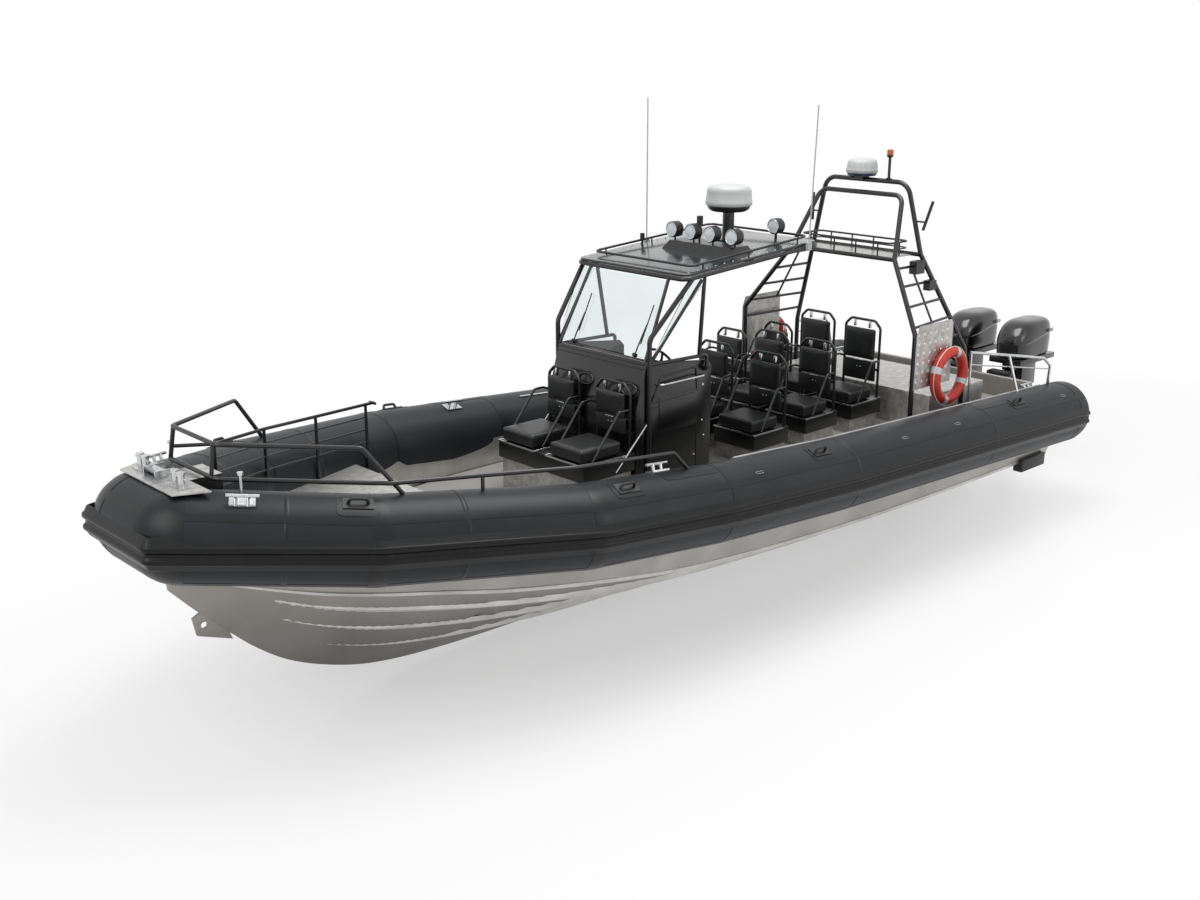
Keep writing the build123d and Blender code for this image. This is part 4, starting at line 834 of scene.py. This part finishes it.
def upholstered(size, rounding, voxel, cap):
    """A foam block swollen under its cover. Each point may move only a short way."""
    block = foam_block(size, rounding, voxel)
    rest = [v.co.copy() for v in block.data.vertices]
    cloth = block.modifiers.new("cover", "CLOTH")
    cloth.settings.use_pressure = True
    cloth.settings.uniform_pressure_force = 4
    cloth.settings.effector_weights.gravity = 0
    cloth.settings.quality = 4
    cloth.point_cache.frame_start, cloth.point_cache.frame_end = 1, 20
    for moment in range(1, 21):
        bpy.context.scene.frame_set(moment)
    baked(block)
    bpy.context.scene.frame_set(1)
    for vertex, start in zip(block.data.vertices, rest):
        step = vertex.co - start
        if step.length > cap:
            vertex.co = start + step * (cap / step.length)
    return block


def pad_copy(name, source, size, base_size, place):
    """A copy of an upholstered pad, cut to a size and set in its place."""
    mesh = source.data.copy()
    scale = [a / b for a, b in zip(size, base_size)]
    for vertex in mesh.vertices:
        vertex.co = Vector([c * s for c, s in zip(vertex.co, scale)]) + Vector(place)
    made = from_mesh(name, mesh, seat_vinyl, 0)
    mesh.shade_smooth()
    return made


cushion_source = upholstered(CUSHION, 0.022, 0.014, 0.007)
back_source = upholstered(BACK, 0.018, 0.012, 0.006)
backboards, studs, seam_rods, brackets = [], [], [], []
for number, (x, y, cushion_z, hoop_z, width, depth) in enumerate(SEATS, 1):
    cushion = pad_copy(f"cushion_{number}", cushion_source, (depth, width, CUSHION[2]), CUSHION,
                       (x + 0.1 + depth / 2, y, cushion_z - 0.07))
    settle(cushion, "boat", ["seat_cushions"])
    foot, top = cushion_z + 0.04, hoop_z - 0.09
    split = foot + 0.38 * (top - foot)
    back = pad_copy(f"back_{number}", back_source, (0.052, width - 0.062, top - split), BACK,
                    (x + 0.044, y, (top + split) / 2))
    settle(back, "boat", ["seat_backs"])
    backboards.append((x + 0.0155, x + 0.052, y - width / 2 + 0.036, y + width / 2 - 0.036, foot, split - 0.006))
    for across in (-0.02, 0.02):
        studs.append((Vector((x + 0.052, y + across, foot + 0.62 * (split - foot))), Vector((1, 0, 0))))
    seam_rods.append((x + 0.05, x + 0.062, y - 0.06, y + 0.06, split - 0.008, split + 0.002))
    for across in (-0.1, 0.1):
        brackets.append((x - 0.006, x + 0.026, y + across - 0.012, y + across + 0.012, hoop_z - 0.1, hoop_z - 0.022))
for source in (cushion_source, back_source):
    bpy.data.objects.remove(source)
print(len(SEATS), "seats")


def boxes(name, extents, finish, rounding, smooth=40):
    """Rounded boxes given by their extents, as one piece."""
    tool = bmesh.new()
    for x0, x1, y0, y1, z0, z1 in extents:
        place = Matrix.Translation(((x0 + x1) / 2, (y0 + y1) / 2, (z0 + z1) / 2))
        size = Matrix.Diagonal((abs(x1 - x0), abs(y1 - y0), abs(z1 - z0), 1))
        bmesh.ops.create_cube(tool, size=1.0, matrix=place @ size)
    bmesh.ops.bevel(tool, geom=list(tool.edges), offset=rounding, segments=3, profile=0.5, affect="EDGES")
    mesh = bpy.data.meshes.new(name)
    tool.to_mesh(mesh)
    tool.free()
    return from_mesh(name, mesh, finish, smooth)


settle(boxes("seat_backboards", backboards, seat_vinyl, 0.008), "boat", ["seat_backs"])
settle(boxes("seat_back_rods", seam_rods, polished_steel, 0.004), "boat")
settle(boxes("seat_back_brackets", brackets, polished_steel, 0.004), "boat")
heads("seat_studs", studs, 0.011, 0.006, polished_steel)
trims = []
for x, y, cushion_z, hoop_z, width, depth in SEATS:
    top = cushion_z - 0.14
    front = x + 0.1 + depth
    half = width / 2 + 0.034
    trims.append((front - 0.004, front + 0.008, y - half, y + half, top - 0.012, top + 0.004))
    for side in both:
        edge = y + side * (width / 2 + 0.03)
        trims.append((x + 0.06, front, edge - 0.004, edge + 0.006, top - 0.012, top + 0.004))
settle(boxes("seat_edge_trims", trims, polished_steel, 0.002), "boat")

# %% [markdown]
# Boxes, plates and castings keep the shape of their solids. No real edge is perfectly sharp, and it is the edge
# that catches the light, so a bevel rounds each one as far as folding, welding or casting leaves it.
# %% Boxes and castings
DRESSED = [
    # node, finish, rounding, body, record slot
    ("deck", deck_grip, 0.0, "boat", "floor"),
    ("bow_step", tread_alloy, 0.006, "boat", "floor"),
    ("bow_plate", tread_alloy, 0.004, "boat", "bare_metal"),
    ("side_linings", bare_alloy, 0.003, "boat", "bare_metal"),
    # The transom and the engine pods take the hull's finish, with its painted shade towards the bottom.
    ("transom", hull_alloy, 0.006, "boat", "hull_metal"),
    ("engine_pods", hull_alloy, 0.012, "boat", "hull_metal"),
    ("engine_brackets", engine_metal, 0.004, "boat", "engine_iron"),
    ("console", console_coat, 0.008, "boat", "console_paint"),
    ("dash", moulded_black, 0.012, "boat", "black_plastic"),
    ("roof_panel", roof_coat, 0.006, "boat", "black_metal"),
    ("seat_boxes", powder_coat, 0.005, "boat", "black_metal"),
    ("seat_plinths", tread_alloy, 0.006, "boat", "bare_metal"),
    ("aft_locker", tread_alloy, 0.008, "boat", "bare_metal"),
    ("side_panels", tread_alloy, 0.0, "boat", "bare_metal"),
    ("arch_shelf", bare_alloy, 0.0, "boat", "bare_metal"),
    ("trim_tabs", moulded_black, 0.01, "boat", "black_plastic"),
    ("bow_eye", hull_alloy, 0.004, "boat", "bare_metal"),
    ("engine_leg_port", engine_gloss, 0.016, "outboard_port", "engine_black"),
    ("engine_leg_starboard", engine_gloss, 0.016, "outboard_starboard", "engine_black"),
]
# The bracket under the bow plate and the folded edge of the roof are painted black.
BLACK_FACES = {"bow_plate": lambda face: face.center.z < 1.506, "roof_panel": lambda face: face.normal.z < 0.8}
for node, finish, rounding, body, slot in DRESSED:
    piece = settle(dressed(node, finish, rounding), body, [node])
    if node in BLACK_FACES:
        piece.data.materials.append(powder_coat)
        for face in piece.data.polygons:
            face.material_index = int(BLACK_FACES[node](face))
print(len(DRESSED), "nodes dressed from their solids")

# %% [markdown]
# Round bars and turned shapes come from two functions: one carries a circle along a line of points, and the other
# spins a profile of (radius, height) pairs about an axis.
# %% Bars and turned shapes


def swept(points, radius, sides=14, loop=False):
    """Corners and faces of a round bar along a line of points."""
    points = [Vector(p) for p in points]
    count = len(points)
    corners = []
    across = None
    for i, point in enumerate(points):
        before = points[i - 1] if i or loop else point
        after = points[(i + 1) % count] if i < count - 1 or loop else point
        ahead = (after - before).normalized()
        across = (ahead.orthogonal() if across is None else across - ahead * across.dot(ahead)).normalized()
        other = ahead.cross(across)
        corners += [point + (across * cos(2 * pi * k / sides) + other * sin(2 * pi * k / sides)) * radius
                    for k in range(sides)]
    return corners, loops(count, sides, ringed=loop)


def spun(profile, place, axis=(0, 0, 1), sides=56):
    """Corners and faces of a profile spun about an axis through a place."""
    turn = Vector(axis).to_track_quat("Z", "Y").to_matrix()
    corners = [Vector(place) + turn @ Vector((r * cos(2 * pi * k / sides), r * sin(2 * pi * k / sides), h))
               for r, h in profile for k in range(sides)]
    faces = loops(len(profile), sides, shut=False)
    if profile[0][0] > 0:
        faces.append(tuple(range(sides - 1, -1, -1)))
    if profile[-1][0] > 0:
        faces.append(tuple((len(profile) - 1) * sides + k for k in range(sides)))
    return corners, faces


# %% [markdown]
# The radar and the smaller dome are white plastic shells on darker bases. Their sides lean in a little and turn
# over into an almost flat top. Both are turned shapes, so a list of profiles is all that they need.
# %% Radar and dome
RADAR_PLACE = (4.240, 0.0, 3.000)
DOME_PLACE = (1.900, -0.070, 3.204)
DOMES = [
    # piece, place, profile of radius and height, finish, record slot, node
    ("radar_base", RADAR_PLACE, [(0.0, 0.0), (0.175, 0.0), (0.205, 0.018), (0.222, 0.05), (0.222, 0.062), (0.0, 0.062)],
     moulded_black, "black_plastic", "radar_dome"),
    ("radar_shell", RADAR_PLACE, [(0.0, 0.06), (0.234, 0.06), (0.240, 0.068), (0.240, 0.10), (0.237, 0.104),
                                  (0.229, 0.20), (0.222, 0.226), (0.206, 0.246), (0.178, 0.258), (0.12, 0.264),
                                  (0.0, 0.265)], white_shell, "white_plastic", "radar_dome"),
    ("dome_base", DOME_PLACE, [(0.0, 0.0), (0.155, 0.0), (0.166, 0.012), (0.168, 0.036), (0.0, 0.036)],
     blue_base, "black_plastic", "arch_dome"),
    ("dome_shell", DOME_PLACE, [(0.0, 0.034), (0.174, 0.034), (0.180, 0.042), (0.180, 0.07), (0.176, 0.073),
                                (0.168, 0.14), (0.160, 0.163), (0.145, 0.179), (0.12, 0.187), (0.06, 0.190),
                                (0.0, 0.190)], white_shell, "white_plastic", "arch_dome"),
]
for name, place, profile, finish, slot, node in DOMES:
    settle(shell(name, *spun(profile, place), finish, 40), "boat", [node])
print(len(DOMES), "dome parts")

# %% [markdown]
# The beacon is a ribbed amber lens under a cap, on a black pole. The ribs are in the turned profile itself, because
# they show on the outline, which a raised pattern would leave smooth.
# %% Beacon
BEACON_PLACE = (1.900, 0.300, 3.190)
pole = spun([(0.0, 0.0), (0.034, 0.0), (0.034, 0.008), (0.016, 0.012), (0.016, 0.232), (0.03, 0.236), (0.036, 0.25),
             (0.036, 0.264), (0.0, 0.264)], BEACON_PLACE)
settle(shell("beacon_pole", *pole, powder_coat, 40), "boat", ["beacon"])
ribs = [(0.034 + 0.003 * (n % 2), 0.262 + 0.006 * n) for n in range(10)]
ribbed = spun([(0.0, 0.262)] + ribs + [(0.026, 0.322), (0.0, 0.324)], BEACON_PLACE)
settle(shell("beacon_lens", *ribbed, amber_lens, 60), "boat", ["beacon"])
print("beacon lens with", len(ribs), "rings")

# %% [markdown]
# Lifebuoys are orange plastic rings with four bands of reflective tape, and a grab line that runs tight round the
# rim through the bands. Each ring is written out point by point, not added as a ready-made torus, so that the
# faces under a band are known and can swell a little and take the tape's finish.
# %% Lifebuoys
BUOY_CENTRE, BUOY_OFF = (1.960, 1.110), 1.2987
BUOY_MAJOR, BUOY_MINOR = 0.270, 0.060
ring_count, tube_count = 128, 28
line_parts = []
for side, word in ((1, "port"), (-1, "starboard")):
    corners, banded = [], []
    for i in range(ring_count):
        turn = 2 * pi * i / ring_count
        in_band = min((degrees(turn) - 20) % 90, 90 - (degrees(turn) - 20) % 90) < 7
        swell = BUOY_MINOR + (0.0015 if in_band else 0.0)
        for k in range(tube_count):
            lean = 2 * pi * k / tube_count
            reach = BUOY_MAJOR + swell * cos(lean)
            corners.append((BUOY_CENTRE[0] + reach * cos(turn), side * (BUOY_OFF + swell * sin(lean)),
                            BUOY_CENTRE[1] + reach * sin(turn)))
        banded += [in_band] * tube_count
    buoy = shell(f"lifebuoy_{word}", corners, loops(ring_count, tube_count, ringed=True), (buoy_orange, buoy_band), 50)
    for polygon, tape in zip(buoy.data.polygons, banded):
        polygon.material_index = 1 if tape else 0
    settle(buoy, "boat", ["lifebuoys"])
    rim = BUOY_MAJOR + BUOY_MINOR + 0.003
    line_parts.append(swept([(BUOY_CENTRE[0] + rim * cos(2 * pi * i / 72), side * (BUOY_OFF + 0.022),
                              BUOY_CENTRE[1] + rim * sin(2 * pi * i / 72)) for i in range(72)], 0.005, 8, loop=True))
settle(shell("buoy_rim_lines", *joined(line_parts), rope_white, 60), "boat")
print(len(line_parts), "lifebuoys")

# %% [markdown]
# The engine covers are moulded shells: rings of rounded outlines stacked up, with the sides pulled in below a crease
# that climbs from the front to the back. Cooling slots lie under the rear of the crease. Sculpting would do it too,
# but a table of outlines keeps both covers alike and easy to change.
# %% Engine covers
COWL_RINGS = [
    # height, front x, rear x, half width, roundness
    (0.720, -0.800, -1.612, 0.206, 3.0), (0.736, -0.786, -1.630, 0.226, 3.2), (0.820, -0.783, -1.637, 0.233, 3.3),
    (0.930, -0.790, -1.640, 0.235, 3.3), (1.010, -0.812, -1.638, 0.232, 3.1), (1.070, -0.852, -1.630, 0.224, 3.0),
    (1.115, -0.892, -1.620, 0.213, 3.0), (1.150, -0.945, -1.600, 0.196, 2.9), (1.173, -1.005, -1.572, 0.168, 2.8),
    (1.186, -1.075, -1.530, 0.125, 2.6), (1.190, -1.180, -1.450, 0.060, 2.4),
]


def engine_cover(y):
    """Corners and faces of one engine cover."""
    heights = sorted([0.720 + 0.0085 * i for i in range(53)] + [1.168, 1.176, 1.182, 1.186, 1.189, 1.190])
    heights = [h for h in heights if h <= 1.1901]
    corners, sides = [], 72
    for height in heights:
        front, rear, half, roundness = between(COWL_RINGS, height)
        middle, reach = (front + rear) / 2, (front - rear) / 2
        for k in range(sides):
            turn = 2 * pi * k / sides
            c, s = cos(turn), sin(turn)
            x = middle + reach * abs(c) ** (2 / roundness) * (1 if c >= 0 else -1)
            across = half * abs(s) ** (2 / roundness) * (1 if s >= 0 else -1)
            crease = 0.90 + 0.16 * (front - x) / (front - rear)
            below = min(max((crease - height) / 0.02, 0.0), 1.0)
            across *= 1 - 0.055 * below * (3 - 2 * below) * below
            corners.append((x, y + across, height))
    return corners, loops(len(heights), sides)


for word, y in (("port", 0.39), ("starboard", -0.39)):
    settle(shell(f"cover_{word}", *engine_cover(y), engine_gloss, 28), f"outboard_{word}",
           [f"engine_cowl_{word}"])
    vents = [(-1.54, -1.36, y + side * 0.222, y + side * 0.2345, 1.020 + 0.016 * n, 1.027 + 0.016 * n)
             for side in both for n in range(3)]
    vents = [(a, b, min(c, d), max(c, d), e, f) for a, b, c, d, e, f in vents]
    settle(boxes(f"cover_vents_{word}", vents, moulded_black, 0.002), f"outboard_{word}")
    print("cover", word, "with", len(vents), "vents")

# %% [markdown]
# Each roof lamp is a round black shell with clear glass in front, held by a bright rim. The lamps are all alike,
# so each profile is spun once for every lamp and the results are joined.
# %% Roof lamps
LAMP_PLACES = [(4.797, y, 2.834) for y in (-0.27, -0.01, 0.25, 0.54)] + [(3.902, 0.320, 2.840)]
LAMP_PARTS = [
    # piece, profile of radius and distance ahead of the lamp's face, finish, record slot
    ("lamp_shells", [(0.0, -0.112), (0.045, -0.111), (0.070, -0.103), (0.080, -0.088), (0.081, 0.004), (0.074, 0.010),
                     (0.072, 0.002), (0.0, 0.002)], moulded_black, "black_plastic"),
    ("lamp_rims", [(0.064, 0.003), (0.074, 0.003), (0.076, 0.010), (0.071, 0.015), (0.066, 0.013), (0.064, 0.003)],
     polished_steel, "chrome"),
    ("lamp_glasses", [(0.0, 0.003), (0.066, 0.003), (0.066, 0.008), (0.04, 0.013), (0.0, 0.016)],
     lamp_glass, "glass"),
]
for name, profile, finish, slot in LAMP_PARTS:
    turned = [spun(profile, place, (1, 0, 0), 40) for place in LAMP_PLACES]
    settle(shell(name, *joined(turned), finish, 40), "boat")
print(len(LAMP_PLACES), "lamps")

# %% [markdown]
# The console's side carries a locker with a raised rim, a door below it held by bright screws, and a thin gas strut
# down to the seat box. Its front has two oval grab recesses and a trim line under the windscreen. Cutting all
# this into the shell would be slow and hard to see in black, so thin raised beads draw it instead.
# %% Console fittings
seam_parts = []
for side in both:
    face = side * 0.621
    locker = [(5.84, face, 1.62), (5.35, face, 1.645), (5.33, face, 1.40), (5.975, face, 1.385)]
    edges = zip(locker, locker[1:] + locker[:1])
    cut = [Vector(a).lerp(Vector(b), share) for a, b in edges for share in (0.06, 0.94)]
    seam_parts.append(swept(cut, 0.009, 8, loop=True))
    door = [(5.98, face, 1.335), (5.34, face, 1.35), (5.33, face, 0.62), (6.10, face, 0.62), (6.12, face, 0.95)]
    seam_parts.append(swept(door, 0.004, 6, loop=True))
for z in (1.765, 1.725):
    x = 6.035 + (1.79 - z) * 0.295
    seam_parts.append(swept([(x, -0.6, z), (x, 0.6, z)], 0.005, 8))
for y in (-0.13, 0.47):
    turns = [2 * pi * i / 40 for i in range(40)]
    oval = [(6.113 - 0.295 * 0.05 * sin(turn), y + 0.10 * cos(turn), 1.52 + 0.05 * sin(turn)) for turn in turns]
    seam_parts.append(swept(oval, 0.011, 8, loop=True))
settle(shell("console_trims", *joined(seam_parts), console_coat, 50), "boat")
SCREW_PLACES = ((5.36, 1.14), (5.25, 1.09), (5.22, 0.93), (5.36, 0.76), (6.06, 1.10), (5.39, 1.53), (5.25, 1.45),
                (5.36, 1.30))
screws = [(Vector((x, side * 0.62, z)), Vector((0, side, 0))) for side in both for x, z in SCREW_PLACES]
heads("console_screws", screws, 0.011, 0.006, polished_steel)
settle(shell("seat_box_struts", *joined([swept([(6.02, side * 0.635, 1.21), (6.43, side * 0.628, 0.80)], 0.009, 10)
                                         for side in both]), polished_steel, 50), "boat")


def screen_place(y, z, lift=0.028):
    """A place just ahead of the windscreen."""
    return (6.03 - (z - 1.79) * 0.493 + lift, y, z + lift * 0.4)


wiper_parts = []
for y in (0.46, -0.40):
    pivot = screen_place(y, 1.83, 0.02)
    wiper_parts.append(swept([pivot, screen_place(y + 0.01, 1.90), screen_place(y + 0.03, 2.10)], 0.007, 8))
    wiper_parts.append(swept([screen_place(y + 0.035, 1.93), screen_place(y + 0.035, 2.28)], 0.006, 8))
    wiper_parts.append(spun([(0.0, -0.02), (0.02, -0.02), (0.02, 0.02), (0.0, 0.026)], pivot, (1, 0, 0.5), 16))
settle(shell("screen_wipers", *joined(wiper_parts), moulded_black, 50), "boat")
print(len(seam_parts), "trim lines and", len(wiper_parts), "wiper parts")

# %% [markdown]
# Bright studs close the edges of the roof, and the aluminium side panels are pressed with rows of round bosses that
# stiffen them. Both are heads from the same geometry nodes, in other sizes.
# %% Roof studs and panel bosses
edge_screws = []
for n in range(15):
    x = 3.82 + n * 0.125
    top = 2.540 + (5.66 - x) * 0.0714 + 0.046
    edge_screws += [(Vector((x, side * 0.70, top)), Vector((0, 0, 1))) for side in both]
heads("roof_screws", edge_screws, 0.009, 0.005, polished_steel)
bosses = [(Vector((1.95 + 0.11 * i, side * 1.2386, 1.10 + 0.105 * j)), Vector((0, side, 0)))
          for side in both for i in range(6) for j in range(6)]
heads("panel_bosses", bosses, 0.022, 0.004, bare_alloy)

# %% [markdown]
# The welded tube frames, lamps and fittings are round already in their solids. Rounding them again would add faces
# and no form, so they keep the solids and only get a finish.
# %% Frames and fittings
FINISHES = [
    ("bow_rails", powder_coat), ("canopy_frame", powder_coat), ("arch_frame", powder_coat),
    ("arch_basket", powder_coat), ("seat_frames", powder_coat), ("lamp_bar", powder_coat),
    ("roof_rails", powder_coat), ("radar_pedestal", powder_coat), ("roof_lamps", moulded_black),
    ("console_rails", polished_steel), ("stern_rails", polished_steel), ("tube_cleats", polished_steel),
    ("bow_bitts", polished_steel), ("grab_handles", moulded_black), ("whip_antennas", white_shell),
    ("windscreen", cabin_glass), ("side_windows", cabin_glass), ("helm_wheel", moulded_black),
    ("swivel_port", engine_metal), ("swivel_starboard", engine_metal),
    ("powerhead_port", engine_metal), ("powerhead_starboard", engine_metal),
    ("propeller_port", polished_steel), ("propeller_starboard", polished_steel),
]
for node, finish in FINISHES:
    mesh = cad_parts[node].data
    if not mesh.materials:
        mesh.materials.append(finish)
    for i in range(len(mesh.materials)):
        mesh.materials[i] = finish
print(len(FINISHES), "nodes keep their solids")
